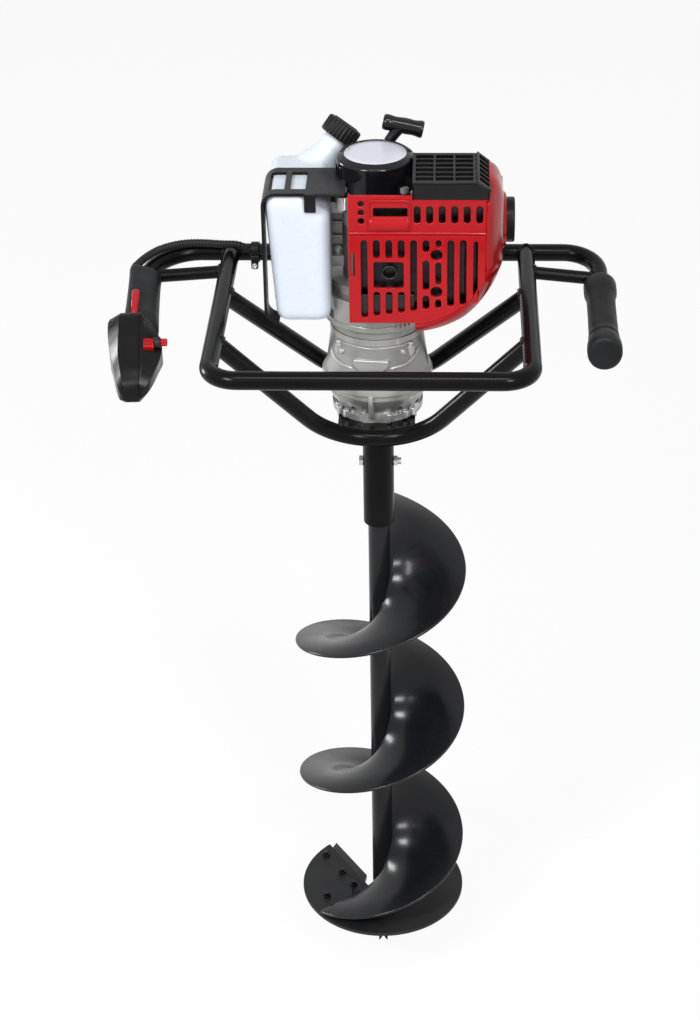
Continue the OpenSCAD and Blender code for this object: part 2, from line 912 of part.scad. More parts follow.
module upper_case() {
  cavity_h = upper_gear_z + gear_h + gear_room - upper_z;
  bulge_h = cavity_h + case_wall;
  color(alloy) difference() {
    union() {
      upper_outline(upper_z, bulge_h, case_r);
      lift(upper_z) cylinder(h = upper_case_h - flange_h, r1 = joint_r, r2 = case_top_r);
      lift(upper_top - flange_h) cylinder(h = flange_h - seat_gap, r = fan_r + cut);
      // Half round boss at the front
      intersection() {
        bar_y(0, -joint_r - cut / 2, upper_z + boss_rise, boss_r, boss_r);
        box([-boss_r, -2 * case_r, upper_z], [boss_r, 0, upper_z + boss_rise + boss_cap]);
      }
    }
    translate(gear_axis + [0, 0, upper_z - cut])
      cylinder(h = cavity_h + cut, r = gear_rp + gear_module + gear_room);
    lift(upper_z - cut) cylinder(h = cavity_h + cut, r = drum_shaft_r + 3 * gear_room);
    lift(upper_z) cylinder(h = upper_case_h, r = drum_shaft_r + gear_room);
    lift(input_bearing_z - seat_gap)
      cylinder(h = upper_case_h, r = drum_shaft_r + input_bearing_t + running_gap);
    translate(gear_axis + [0, 0, upper_z])
      cylinder(h = upper_case_h - shaft_end + seat_gap, r = layshaft_r + running_gap);
  }
}

// Bearings of the output shaft, the input pinion and the crankshaft
module bearings() {
  out_r = output_d / 2 + running_gap;
  crank_in = crank_shaft_r + running_gap;
  crank_out = crank_shaft_r + crank_bearing_t;
  color(steel) {
    bearing(neck_z + seal_seat, out_r, neck_bore_r);
    bearing(lower_top + bearing_seat + 2 * seat_gap, out_r, output_d / 2 + input_bearing_t);
    bearing(input_bearing_z, drum_shaft_r + running_gap, drum_shaft_r + input_bearing_t);
    bearing(crank_z - chamber_h - bearing_h - cut, crank_in, crank_out);
    bearing(crank_z + chamber_h + cut, crank_in, crank_out);
  }
}

module case_screws() {
  color(steel) {
    for (a = flange_screw_angles) rotate([0, 0, a])
      translate([flange_screw_r, 0, case_z + flange_h + seat_gap]) cap_screw(flange_h + plate_t);
    for (a = recoil_screw_angles) rotate([0, 0, a])
      translate([recoil_screw_r, 0, recoil_z + lug_h + seat_gap]) cap_screw(screw_grip);
  }
}

// Open ring round the fan with a rim, between the gearbox and the crankcase
module fan_housing() {
  inner = fan_r - fan_wall;
  rim = fan_r + fan_rim_reach;
  rim_top = fan_rim_rise + fan_rim_h;
  top = fan_h - seat_gap;
  color(alloy) lift(upper_top) rotate_extrude()
    polygon([[inner, 0], [fan_r, 0], [fan_r, fan_rim_rise - fan_rim_slope], [rim, fan_rim_rise],
             [rim, rim_top], [fan_r, rim_top + fan_rim_slope], [fan_r, top], [inner, top]]);
}

// Outline of both crankcase halves with the cylinder's seat and the ears
module crankcase_outline() {
  lift(fan_top) cylinder(h = crankcase_top - fan_top, r = crankcase_r);
  lift(fan_top) cylinder(h = crankcase_foot, r = fan_r);
  box([0, -block_half, crank_z - block_half], [cylinder_foot, block_half, crank_z + block_half]);
  for (a = recoil_screw_angles) rotate([0, 0, a])
    translate([recoil_screw_r, 0, crankcase_top - ear_h]) cylinder(h = ear_h, r = lug_r);
  for (a = recoil_screw_angles) rotate([0, 0, a])
    box([0, -ear_half, crankcase_top - ear_h], [recoil_screw_r, ear_half, crankcase_top]);
  // Arms that carry the tank
  for (z = tank_arms)
    box([tank_left + tank_w + seat_gap, -arm_half, crank_z + z], [0, arm_half, crank_z + z + arm_h]);
}

// Room inside the crankcase
module crankcase_room() {
  bore = crank_shaft_r + crank_bearing_t + running_gap;
  lift(crank_z - chamber_h) cylinder(h = 2 * chamber_h, r = chamber_r);
  lift(crank_z - chamber_h - bearing_h - 2 * cut)
    cylinder(h = 2 * (chamber_h + bearing_h + 2 * cut), r = bore);
  lift(fan_top - cut) cylinder(h = crankcase_top - fan_top + 2 * cut, r = crank_shaft_r + 2 * cut);
  bar_x(0, 0, crank_z, cylinder_foot + cut, spigot_r + running_gap);
  for (a = recoil_screw_angles) rotate([0, 0, a])
    translate([recoil_screw_r, 0, recoil_z - screw_grip])
      cylinder(h = screw_grip + cut, d = screw_d + 2 * running_gap);
}

module crankcase_lower() {
  color(alloy) difference() {
    crankcase_outline();
    crankcase_room();
    lift(crank_z) cylinder(h = crankcase_rise + 2 * cut, r = 3 * crankcase_r);
  }
}

module crankcase_upper() {
  color(alloy) difference() {
    crankcase_outline();
    crankcase_room();
    lift(fan_top - cut) cylinder(h = crank_rise + cut + seat_gap, r = 3 * crankcase_r);
  }
}

// Finned cylinder with its ports, along +X
module cylinder_block() {
  color(alloy) difference() {
    union() {
      bar_x(cylinder_foot - spigot, 0, crank_z, spigot + cut, spigot_r);
      bar_x(cylinder_foot + seat_gap, 0, crank_z, cylinder_end - cylinder_foot - seat_gap, liner_r);
      box([cylinder_foot + seat_gap, -block_half, crank_z - block_half],
          [cylinder_foot + seat_t, block_half, crank_z + block_half]);
      for (i = [0 : fin_count - 1]) box([fin_start + i * fin_pitch, -fin_w / 2, crank_z - fin_w / 2],
                                        [fin_start + i * fin_pitch + fin_t, fin_w / 2, crank_z + fin_w / 2]);
      box([port_x - port_half, -port_reach, crank_z - port_half],
          [port_x + port_half, port_reach, crank_z + port_half]);
      // Posts that carry the shroud's right wall
      for (p = post_places) bar_x(fin_start, p[0], crank_z + p[1],
                                  shroud_right - shroud_wall - seat_gap - fin_start, post_d / 2);
    }
    bar_x(0, 0, crank_z, cylinder_end - head_t, bore_d / 2);
    bar_x(0, 0, crank_z, cylinder_end + cut, plug_thread_r + running_gap);
    bar_y(port_x, -port_reach - cut, crank_z, 2 * port_reach + 2 * cut, port_r);
  }
}

module spark_plug() {
  color(white) {
    bar_x(cylinder_end - head_t + cut, 0, crank_z, head_t + plug_hex_h / 2, plug_thread_r);
    translate([cylinder_end + seat_gap, 0, crank_z]) rotate([0, 90, 0])
      cylinder(h = plug_hex_h, r = plug_hex_h, $fn = 6);
    bar_x(cylinder_end + plug_hex_h - cut, 0, crank_z, plug_insulator, plug_insulator_r);
    bar_x(cylinder_end + plug_hex_h - cut, 0, crank_z, plug_insulator + plug_tip, plug_tip_r);
  }
}

// Muffler box before the cylinder, with a short tail pipe at the shroud's window
module muffler() {
  back = -port_reach - muffler_gap;
  front = back - muffler_depth;
  low = crank_z - muffler_low;
  high = crank_z + muffler_high;
  color(dark) difference() {
    union() {
      box([muffler_x[0], front, low], [muffler_x[1], back, high]);
      bar_y(tail_x, front - tail_length, crank_z + tail_rise, tail_length + cut, tail_r);
    }
    box([muffler_x[0] + muffler_wall, front + muffler_wall, low + muffler_wall],
        [muffler_x[1] - muffler_wall, back - muffler_wall, high - muffler_wall]);
    bar_y(tail_x, front - tail_length - cut, crank_z + tail_rise, 2 * tail_length + cut, tail_r - tail_wall);
    bar_y(port_x, back - 2 * muffler_wall, crank_z, 4 * muffler_wall, port_r);
  }
}

// Carburettor behind the intake port
module carburettor() {
  front = port_reach + carb_gap;
  color(alloy) difference() {
    union() {
      box([port_x - carb_half, front, crank_z - carb_half],
          [port_x + carb_half, front + carb_length, crank_z + carb_high]);
      bar_y(port_x, front, crank_z, carb_length, carb_half + 2 * cut);
    }
    bar_y(port_x, front - cut, crank_z, carb_length + 2 * cut, port_r);
    translate([port_x, front + carb_length / 2, crank_z])
      cylinder(h = carb_high + cut, r = arm_r + running_gap);
  }
}

// Throttle arm that the cable swings, on its spindle in the carburettor
module throttle_arm() {
  y = port_reach + carb_gap + carb_length / 2;
  color(steel) translate([port_x, y, arm_z]) {
    lift(-carb_high / 2) cylinder(h = carb_high / 2 + cut, r = arm_r);
    lift(side_gap) cylinder(h = arm_t, r = 2 * arm_r);
    rotate([0, 0, arm_angle]) {
      box([0, -arm_r, side_gap], [arm_length, arm_r, side_gap + arm_t]);
      translate([arm_length, 0, side_gap]) cylinder(h = arm_t, r = arm_r + cut);
    }
  }
}

module air_cleaner() {
  front = port_reach + 2 * carb_gap + carb_length;
  color(black) difference() {
    box([port_x - cleaner_half, front, crank_z - cleaner_high],
        [port_x + cleaner_half, front + cleaner_depth, crank_z + cleaner_high]);
    box([port_x - cleaner_half + cleaner_wall, front + cleaner_wall, crank_z - cleaner_high + cleaner_wall],
        [port_x + cleaner_half - cleaner_wall, front + cleaner_depth - cleaner_wall,
         crank_z + cleaner_high - cleaner_wall]);
    bar_y(port_x, front - cut, crank_z, cleaner_wall + 2 * cut, port_r);
    for (i = [-2 : 2])
      slot(port_x + i * vent_pitch, crank_z - vent_half, crank_z + vent_half, vent_w,
           front + cleaner_depth - 2 * cleaner_wall, 3 * cleaner_wall);
  }
}

// Round belly of the shroud with its bevelled front, along local +Z
module belly(inset) {
  front = shroud_front - inset;
  r = belly_r - inset;
  lift(-shroud_back - 2 * cut)
    cylinder(h = shroud_back + front - belly_bevel_depth + 2 * cut, r = r, $fn = 96);
  lift(front - belly_bevel_depth)
    cylinder(h = belly_bevel_depth + cut, r1 = r, r2 = r - belly_bevel - cut, $fn = 96);
}

// Shroud's solid form, drawn in by a wall, with the belly under its right half
module shroud_form(inset) {
  low = crank_z + shroud_step_low - 2 * cut;
  high = crank_z + shroud_high + belly_r;
  intersection() {
    box([shroud_left + inset, -shroud_front + inset, crank_z + shroud_step_low - cut],
        [shroud_right - inset, shroud_back + cut * sign(inset), crank_z + shroud_high + cut]);
    union() {
      translate([belly_centre[0], 0, crank_z + belly_centre[1]]) rotate([90, 0, 0]) belly(inset);
      box([2 * shroud_left, -2 * shroud_front, low], [shroud_step_x, 2 * shroud_back, high]);
      box([2 * shroud_left, -2 * shroud_front, crank_z + belly_centre[1]],
          [2 * shroud_right, 2 * shroud_back, high]);
    }
    lift(crank_z + shroud_step_low) linear_extrude(2 * shroud_high + belly_r)
      polygon([[shroud_left, -shroud_front], [shroud_right - corner_x - inset * 0.6, -shroud_front],
               [shroud_right - inset, -shroud_front + corner_y - inset * 0.4],
               [shroud_right, shroud_back + 2 * cut], [shroud_left, shroud_back + 2 * cut]]);
  }
}

// Red cover round the cylinder and muffler, open behind
module engine_shroud() {
  color(red) {
    difference() {
      shroud_shell();
      bar_x(boss_end - boss_depth - belly_r, 0, crank_z, 2 * belly_r, cover_r + boss_wall - cut);
    }
    difference() {
      bar_x(boss_end - boss_depth, 0, crank_z, boss_depth, cover_r + boss_wall);
      bar_x(boss_end - boss_depth - cut, 0, crank_z, boss_depth + 2 * cut, cover_r - boss_wall);
      bar_x(boss_end - cover_seat, 0, crank_z, cover_seat + cut, cover_r + seat_gap);
    }
  }
}

// Shroud without the boss of its end cover
module shroud_shell() {
  y = -shroud_front - cut;
  depth = shroud_wall + 2 * cut;
  top = crank_z + shroud_high;
  above = top + belly_r;
  left = shroud_left - cut;
  back = 2 * shroud_back;
  difference() {
    shroud_form(0);
    shroud_form(shroud_wall);
    // Open top beside the recoil starter, and the shelf
    box([left, -shroud_front + shroud_wall, top - shroud_open_h], [shroud_left + shroud_open_w, back, above]);
    box([louvre_x[0] - side_gap, -2 * shroud_front, crank_z + shroud_shelf],
        [louvre_x[1] + side_gap, back, above]);
    box([left, -2 * shroud_front, crank_z + shroud_left_high], [louvre_x[0], back, above]);
    box([louvre_x[1], fin_back, crank_z + fin_low], [2 * shroud_right, back, above]);
    box([left, -2 * shroud_front, top], [2 * shroud_right, back, above]);
    // Open left side and the step under the muffler
    box([left, -shroud_front + shroud_lip, crank_z - belly_r], [shroud_step_x, back, above]);
    box([left, -2 * shroud_front, crank_z - belly_r], [shroud_step_x, back, crank_z + shroud_low]);
    lift(crank_z - belly_r)
      cylinder(h = belly_r - crank_rise + crankcase_foot + 2 * cut, r = fan_r + 2 * cut);
    shroud_slots(y, depth);
    // Shallow panel
    box([panel_x[0], y, crank_z + panel_z[0]], [panel_x[1], y + cut + panel_depth, crank_z + panel_z[1]]);
  }
}

// Openings of the shroud's front
module shroud_slots(y, depth) {
  high = crank_z + slot_high;
  window_low = crank_z + window_z[0];
  window_high = crank_z + window_z[1];
  for (i = [0 : lower_slot_count - 1]) {
    x = slot_first + i * slot_pitch;
    low = crank_z + slot_low + i * slot_climb;
    beside = x > window_x[0] && x < window_x[1];
    if (beside) {
      slot(x, low, window_low - window_land, slot_w, y, depth);
      slot(x, window_high + window_land, high, slot_w, y, depth);
    } else if (i == grille_column) {
      for (z = grille_holes) bar_y(x - grille_shift, y, crank_z + z, depth, grille_hole_r);
      slot(x, crank_z + grille_holes[1] + grille_land, crank_z + grille_holes[0] - grille_land,
           slot_w - cut, y, depth);
      slot(x, low, crank_z + grille_holes[1] - grille_land, slot_w - cut, y, depth);
      slot(x, crank_z + grille_holes[0] + grille_land, high, slot_w - cut, y, depth);
    } else if (i == grille_column - 1) {
      for (k = [0 : 2]) slot(x, crank_z + split_slots[k][0], crank_z + split_slots[k][1], slot_w, y, depth);
    } else {
      slot(x, low, high, slot_w, y, depth);
    }
  }
  for (i = [0 : upper_slot_count - 1])
    slot(upper_slot_first + i * slot_pitch, crank_z + upper_slot_low, crank_z + upper_slot_high,
         slot_w, y, depth);
  box([window_x[0], y, window_low], [window_x[1], y + depth, window_high]);
  box([panel_slot_x[0], y, crank_z + panel_slot_z[0]],
      [panel_slot_x[1], y + depth, crank_z + panel_slot_z[1]]);
  for (z = small_holes) bar_y(small_hole_x, y, crank_z + z, depth, small_hole_r);
  // Narrow slit beside the left edge
  box([slit_x, y, crank_z + slit_z[0]], [slit_x + slit_w, y + depth, crank_z + slit_z[1]]);
}

// Round cover on the shroud's right end, before the spark plug
module end_cover() {
  color(dark) {
    bar_x(boss_end - cover_seat + seat_gap, 0, crank_z, cover_t, cover_r);
    bar_x(boss_end - 2 * cover_seat, 0, crank_z, 2 * cover_seat, cover_r - boss_wall - seat_gap);
  }
}

// Louvred cover over the cylinder
module louvre_cover() {
  low = crank_z + shroud_shelf + seat_gap;
  high = low + louvre_h;
  front = -shroud_front;
  pitch_x = (louvre_x[1] - louvre_x[0] - 2 * louvre_rib) / louvre_columns;
  pitch_y = (louvre_back - front - 2 * louvre_rib) / louvre_rows;
  color(black) difference() {
    box([louvre_x[0], front, low], [louvre_x[1], louvre_back, high]);
    box([louvre_x[0] + louvre_wall, front + louvre_wall, low - cut],
        [louvre_x[1] - louvre_wall, louvre_back - louvre_wall, high - louvre_wall]);
    translate([louvre_x[0] + 1.5 * louvre_rib, front + 1.5 * louvre_rib, high - louvre_wall - cut])
      for (i = [0 : louvre_columns - 1], j = [0 : louvre_rows - 1])
        translate([i * pitch_x, j * pitch_y, 0])
          cube([pitch_x - louvre_rib, pitch_y - louvre_rib, louvre_wall + 2 * cut]);
  }
}

// Cup over the starter pulley, with a post for it and a guide for the rope
module recoil_housing() {
  roof_z = recoil_top - recoil_roof;
  color(black) difference() {
    union() {
      difference() {
        recoil_body();
        lift(recoil_z - cut) cylinder(h = roof_z - recoil_z + cut, r = recoil_r - recoil_wall);
      }
      lift(pulley_z) cylinder(h = roof_z - pulley_z + cut, r = post_r);
    }
    lift(recoil_top - badge_t) cylinder(h = badge_t + cut, r = badge_r + seat_gap);
    along(rope_exit - 2 * guide_length * unit(pull_dir), pull_dir)
      cylinder(h = 2 * guide_length + 2 * grip_rise, d = rope_d + rope_room);
    for (a = recoil_screw_angles) rotate([0, 0, a]) translate([recoil_screw_r, 0, recoil_z - cut])
      cylinder(h = lug_h + 2 * cut, d = screw_d + 2 * running_gap);
  }
}

// Cup, screw lugs and rope guide before they are hollowed
module recoil_body() {
  lift(recoil_z + seat_gap) cylinder(h = recoil_h - seat_gap, r = recoil_r);
  for (a = recoil_screw_angles) rotate([0, 0, a])
    translate([recoil_screw_r, 0, recoil_z + seat_gap]) cylinder(h = lug_h - seat_gap, r = lug_r);
  along(rope_exit - guide_length * unit(pull_dir), pull_dir)
    cylinder(h = guide_length + grip_rise - side_gap, r = guide_r);
}

module recoil_badge() {
  color(white) lift(recoil_top - badge_t + seat_gap)
    cylinder(h = badge_t - seat_gap, r = badge_r);
}

module starter_pulley() {
  color(dark) lift(pulley_z) difference() {
    cylinder(h = pulley_h, r = pulley_r);
    lift(-cut) cylinder(h = pulley_h + 2 * cut, r = post_r + running_gap);
    lift(pulley_h / 2) rotate_extrude()
      translate([pulley_r, 0]) circle(d = rope_d + rope_room, $fn = 24);
  }
}

// T grip on the rope's end
module starter_grip() {
  seat = rope_exit + grip_rise * unit(pull_dir);
  tip = seat + stem_length * unit(pull_dir);
  color(black) {
    along(seat, pull_dir) cylinder(h = stem_length, d1 = stem_foot_d, d2 = stem_head_d);
    translate(tip) rotate([0, 90, 0]) cylinder(h = pull_grip_w, d = pull_grip_d, center = true);
  }
}

// Rope between the pulley and the grip
module starter_rope() {
  start = rope_exit - (2 * guide_length - cut) * unit(pull_dir);
  color(dark) rod(start, rope_exit + (grip_rise - seat_gap) * unit(pull_dir), rope_d);
}

module crankshaft() {
  color(steel) {
    lift(shoe_z) cylinder(h = crank_z - web_gap / 2 - web_t - shoe_z + cut, r = crank_shaft_r);
    lift(crank_z - web_gap / 2 - web_t) cylinder(h = web_t, r = web_r);
    lift(crank_z + web_gap / 2) cylinder(h = web_t, r = web_r);
    lift(crank_z + web_gap / 2)
      cylinder(h = crankcase_top + 2 * cut - crank_z - web_gap / 2, r = crank_shaft_r);
  }
}

// Finned flywheel with the studs of the clutch shoes
module flywheel() {
  color(alloy) {
    difference() {
      union() {
        lift(flywheel_z) cylinder(h = flywheel_h, r = flywheel_r);
        lift(flywheel_z - wheel_hub_drop) cylinder(h = wheel_hub_h, r = wheel_hub_r);
        for (i = [0 : blade_count - 1]) rotate([0, 0, i * 360 / blade_count])
          translate([fan_blade_r, -fan_blade_t / 2, flywheel_z + flywheel_h - cut])
            cube([flywheel_r - fan_blade_r - fan_blade_t, fan_blade_t, fan_blade_h + cut]);
        for (s = [-1, 1]) translate([stud_place * s, 0, shoe_z - cut])
          cylinder(h = flywheel_z - shoe_z + 2 * cut, r = stud_r);
      }
      lift(shoe_z) cylinder(h = fan_h, r = crank_shaft_r + running_gap / 2);
    }
  }
}

// Two centrifugal shoes on the flywheel's studs
module clutch_shoes() {
  outer = drum_r - drum_wall - shoe_gap;
  color(dark) for (s = [0, 180]) rotate([0, 0, s]) lift(shoe_z) difference() {
    cylinder(h = shoe_h, r = outer);
    lift(-cut) cylinder(h = shoe_h + 2 * cut, r = shoe_inner_r);
    box([-outer - cut, -outer - cut, -cut], [shoe_split, outer + cut, shoe_h + cut]);
    translate([stud_place, 0, -cut]) cylinder(h = shoe_h + 2 * cut, r = stud_r + running_gap);
  }
}

module piston() {
  x = crank_r + rod_length;
  r = bore_d / 2 - running_gap;
  color(alloy) difference() {
    bar_x(x - piston_skirt, 0, crank_z, piston_h, r);
    bar_x(x - piston_skirt - cut, 0, crank_z, piston_h - piston_crown, r - piston_wall);
    translate([x, 0, crank_z - bore_d]) cylinder(h = 2 * bore_d, r = wrist_r + running_gap);
  }
}

// Wrist pin in the piston and crank pin in the rod's big end
module rod_pins() {
  half = bore_d / 2 - pin_inset;
  color(steel) {
    translate([crank_r + rod_length, 0, crank_z - half]) cylinder(h = 2 * half, r = wrist_r);
    translate([crank_r, 0, crank_z - web_gap / 2 + side_gap])
      cylinder(h = web_gap - 2 * side_gap, r = crank_pin_r);
  }
}

module connecting_rod() {
  x = crank_r + rod_length;
  z = crank_z - rod_t / 2;
  color(steel) difference() {
    union() {
      translate([crank_r, 0, z]) cylinder(h = rod_t, r = crank_pin_r + big_eye);
      translate([x, 0, z]) cylinder(h = rod_t, r = wrist_r + small_eye);
      box([crank_r, -rod_half, z + rod_web], [x, rod_half, z + rod_t - rod_web]);
    }
    translate([crank_r, 0, z - cut]) cylinder(h = rod_t + 2 * cut, r = crank_pin_r + running_gap);
    translate([x, 0, z - cut]) cylinder(h = rod_t + 2 * cut, r = wrist_r + running_gap);
  }
}

// Rounded tank form, drawn in by a wall
module tank_form(inset) {
  r = tank_round - inset;
  x0 = tank_left + tank_round;
  x1 = tank_left + tank_w - tank_round;
  y0 = tank_front + tank_round;
  y1 = tank_low_back - tank_round;
  z0 = tank_z + tank_round;
  z1 = tank_z + tank_h - tank_round;
  hull() {
    for (p = [[x0 + tank_taper, y0], [x1, y0], [x0 + tank_taper, y1], [x1 - tank_taper, y1]])
      translate([p[0], p[1], z0]) sphere(r, $fn = 24);
    for (p = [[x0, z1], [x1 - tank_bevel, z1], [x1, z1 - tank_bevel]])
      translate([p[0], y0, p[1]]) sphere(r, $fn = 24);
    for (x = [x0, x1], z = [z1 - tank_shoulder, z1])
      translate([x, tank_high_back - tank_round, z]) sphere(r, $fn = 24);
  }
}

module fuel_tank() {
  a = unit(cap_axis);
  mouth = cap_centre - (cap_h / 2 - cap_wall - seat_gap) * a;
  color(white) difference() {
    union() {
      tank_form(0);
      along(mouth - neck_length * a, a) cylinder(h = neck_length, d = neck_d);
    }
    tank_form(tank_wall);
    along(mouth - (neck_length + neck_reach) * a, a)
      cylinder(h = neck_length + neck_reach + cut, d = neck_d - 2 * neck_wall);
  }
}

// Knurled filler cap over the tank's neck
module fuel_cap() {
  a = unit(cap_axis);
  color(black) along(cap_centre - cap_h / 2 * a, a) difference() {
    union() {
      cylinder(h = cap_h, d = cap_d - knurl);
      for (i = [0 : knurl_count - 1]) rotate([0, 0, 360 * i / knurl_count])
        translate([cap_d / 2 - knurl, -knurl_w / 2, knurl]) cube([knurl, knurl_w, cap_h - 2 * knurl]);
    }
    lift(-cut) cylinder(h = cap_h - cap_wall + cut, d = neck_d + 2 * side_gap);
  }
}

// Rounded rectangle in XZ
module round_frame(low, high, r) {
  translate([low[0] + r, low[1] + r]) offset(r = r, $fn = 32)
    square([high[0] - low[0] - 2 * r, high[1] - low[1] - 2 * r]);
}

// Black guard over the tank's top and down its left side
module tank_guard() {
  low = [tank_left - guard_gap - guard_t, tank_z - guard_gap - guard_t];
  top = tank_z + tank_h + guard_gap + guard_t;
  front = tank_front - guard_gap;
  side = tank_left + guard_round;
  far = 4 * recoil_r;
  color(black) difference() {
    union() {
      translate([0, guard_back, 0]) rotate([90, 0, 0]) linear_extrude(guard_back - front) difference() {
        round_frame(low, [far, top], guard_round + guard_t);
        round_frame(low + [guard_t, guard_t], [far + guard_round, top - guard_t], guard_round);
      }
      box([hook_x[0], front - guard_t, top - hook_h], [hook_x[1], front, top]);
      box([hook_x[0], front - cut, top - guard_t], [hook_x[1], front + cut, top]);
    }
    // The top ends at the recoil housing and the side ends under the tank
    box([guard_end, -far, low[1] - cut], [2 * far, far, top + cut]);
    box([side, -far, low[1] - cut], [far, front - 2 * guard_t, top - guard_t - cut]);
    box([side, front + cut, low[1] - cut], [far, far, top - guard_t - elbow_relief]);
    box([side, -far, low[1] - cut], [far, far, top - hook_h - cut]);
    lift(tank_z) cylinder(h = 2 * tank_h, r = recoil_r + weld_gap);
    // The side is a narrow band at the front
    box([low[0] - cut, front + guard_band, low[1] - cut], [side + cut, far, top - guard_round - guard_t]);
    // Two windows in the top
    for (x = guard_windows) box([x, front + window_rim, top - guard_t - cut],
                                [x + window_w, guard_back - window_rim, top + cut]);
  }
}

module handle_tube() {
  color(black) bent_tube(handle_path, handle_bends);
}

// Crossbar's straight run, for seats cut against it
module crossbar_cut() {
  start = [-left_x + left_bend, bar_back, bar_z];
  rod(start, [right_x - handle_bend, bar_back, bar_z], tube_d + 2 * weld_gap);
}

// Side tubes of the guard loop, for seats cut against them
module loop_side_cut() {
  for (s = [-1, 1])
    rod([s * loop_x, bar_back, bar_z], [s * loop_x, -loop_front, loop_z], tube_d + 2 * weld_gap);
}

module guard_loop() {
  path = [[loop_x, bar_back, bar_z], [loop_x, -loop_front, loop_z],
          [-loop_x, -loop_front, loop_z], [-loop_x, bar_back, bar_z]];
  color(black) difference() {
    bent_tube(path, loop_bend);
    crossbar_cut();
  }
}

// Point on the right side tube of the guard loop
function loop_point(y) = point_at([loop_x, bar_back, bar_z], [loop_x, -loop_front, loop_z], y);

// V shaped tube from side to side under the gearbox
module v_tube(y, apex, bend) {
  end = loop_point(y);
  difference() {
    bent_tube([end, apex, [-end[0], end[1], end[2]]], bend);
    loop_side_cut();
  }
}

module front_v_tube() {
  color(black) v_tube(front_v_y, front_v_apex, front_v_bend);
}

module rear_v_tube() {
  color(black) v_tube(rear_v_y, rear_v_apex, rear_v_bend);
}

// Round bars from the guard loop to the handles
module handle_braces() {
  right_start = loop_point(right_brace_y);
  left_start = loop_point(left_brace_y);
  color(black) difference() {
    union() {
      rod(right_start, point_at(right_corner, right_end, right_brace_y), brace_d);
      rod([-left_start[0], left_start[1], left_start[2]], point_at(left_corner, left_end, left_brace_y),
          brace_d);
    }
    loop_side_cut();
    bent_bar(handle_path, handle_bends, tube_d + 2 * weld_gap + 2 * elbow_relief);
  }
}

// Bar along a V tube, for the plate's seats
module v_cut(y, apex, bend) {
  end = loop_point(y);
  bent_bar([end, apex, [-end[0], end[1], end[2]]], bend, tube_d + 2 * weld_gap + 2 * elbow_relief);
}

module mounting_plate() {
  color(black) difference() {
    box([-plate_w / 2, plate_front, plate_z], [plate_w / 2, plate_rear, case_z - seat_gap]);
    lift(plate_z - cut) cylinder(h = plate_t + 2 * cut, r = neck_r + cut);
    v_cut(front_v_y, front_v_apex, front_v_bend);
    v_cut(rear_v_y, rear_v_apex, rear_v_bend);
    box([-plate_w, -2 * loop_front, plate_z - cut], [plate_w, plate_front + plate_trim, case_z]);
    box([-plate_w, plate_rear - plate_trim, plate_z - cut], [plate_w, 2 * loop_front, case_z]);
    for (a = flange_screw_angles) rotate([0, 0, a])
      translate([flange_screw_r, 0, plate_z - cut])
        cylinder(h = plate_t + 2 * cut, d = screw_d + 2 * running_gap);
  }
}

// Rubber grip with a flange at each end
module right_grip() {
  length = norm(right_end - right_corner);
  start = length - grip_length;
  r = grip_d / 2;
  flange = grip_flange_d / 2;
  end = length + grip_cap;
  collar = r + grip_collar;
  outline = [[0, start], [collar, start], [collar, start + collar_h], [r, start + collar_h + grip_slope],
             [r, end - grip_flange_h - grip_slope], [flange - cut, end - grip_flange_h],
             [flange, end - grip_slope], [flange - grip_slope, end], [0, end]];
  color(rubber) on_handle(right_corner, right_end) difference() {
    rotate_extrude() polygon(outline);
    lift(start - cut) cylinder(h = grip_length + cut + seat_gap, d = tube_d + 2 * running_gap);
  }
}

// Rubber sleeve of the left handle
module left_grip() {
  color(rubber) on_handle(left_corner, left_end) lift(left_grip_start) difference() {
    cylinder(h = left_grip_end - left_grip_start, d = left_grip_d);
    lift(-cut) cylinder(h = left_grip_end, d = tube_d + 2 * running_gap);
    // Groove for the throttle cable
    box([cable_side - groove, cable_height - groove, -cut],
        [cable_side + groove, cable_height + left_grip_d, left_grip_end]);
  }
}

// Corners of one section of the throttle housing, drawn in by an inset
function section_corners(section, inset) = [
  for (x = section[1] * throttle_w + [inset, -inset], y = section[2] + [inset, -inset]) [x, y]
];

// Form of the throttle housing, drawn in by a wall
module throttle_form(inset) {
  r = throttle_round - inset / 2;
  mouth = section_corners(throttle_sections[0], r + inset);
  middle = section_corners(throttle_sections[1], r + inset);
  tip = section_corners(throttle_sections[2], r + inset);
  foot = throttle_start - (inset > 0 ? cut : 0);
  middle_z = throttle_start + throttle_sections[1][0] * throttle_length;
  end = throttle_start + throttle_length - r - inset;
  hull() {
    for (p = mouth) translate([p[0], p[1], foot]) cylinder(h = throttle_mouth, r = r, $fn = 24);
    for (p = middle) translate([p[0], p[1], middle_z]) sphere(r, $fn = 24);
    for (p = tip) translate([p[0], p[1], end]) sphere(r, $fn = 24);
  }
}

// Ribs, pin bosses and the switch's block inside the throttle housing
module throttle_ribs() {
  for (z = rib_places) box([-throttle_w, -rib_half, z], [throttle_w, rib_half, z + rib_t]);
  for (side = [0, 1]) {
    translate(trigger_pivot) mirror([side, 0, 0])
      bar_x(trigger_w / 2 + control_room, 0, 0, throttle_w, trigger_t);
    translate(lock_pivot) mirror([side, 0, 0]) bar_x(lock_w / 2 + control_room, 0, 0, throttle_w, lock_t);
  }
  block_end = switch_low[2] + switch_size[2] + switch_travel + block_wall;
  box([switch_low[0] - block_wall, 0, switch_low[2] - block_wall],
      [throttle_w, switch_low[1] - control_room, block_end]);
  box([switch_low[0] + switch_size[0] + control_room, 0, button_place[2] - button_d],
      [throttle_w, button_place[1] + button_d, button_place[2] + button_d]);
}

// Bore for a pin along X
module pin_bore(length) {
  bar_x(-length / 2 - control_room, 0, 0, length + 2 * control_room, pin_r + running_gap);
}

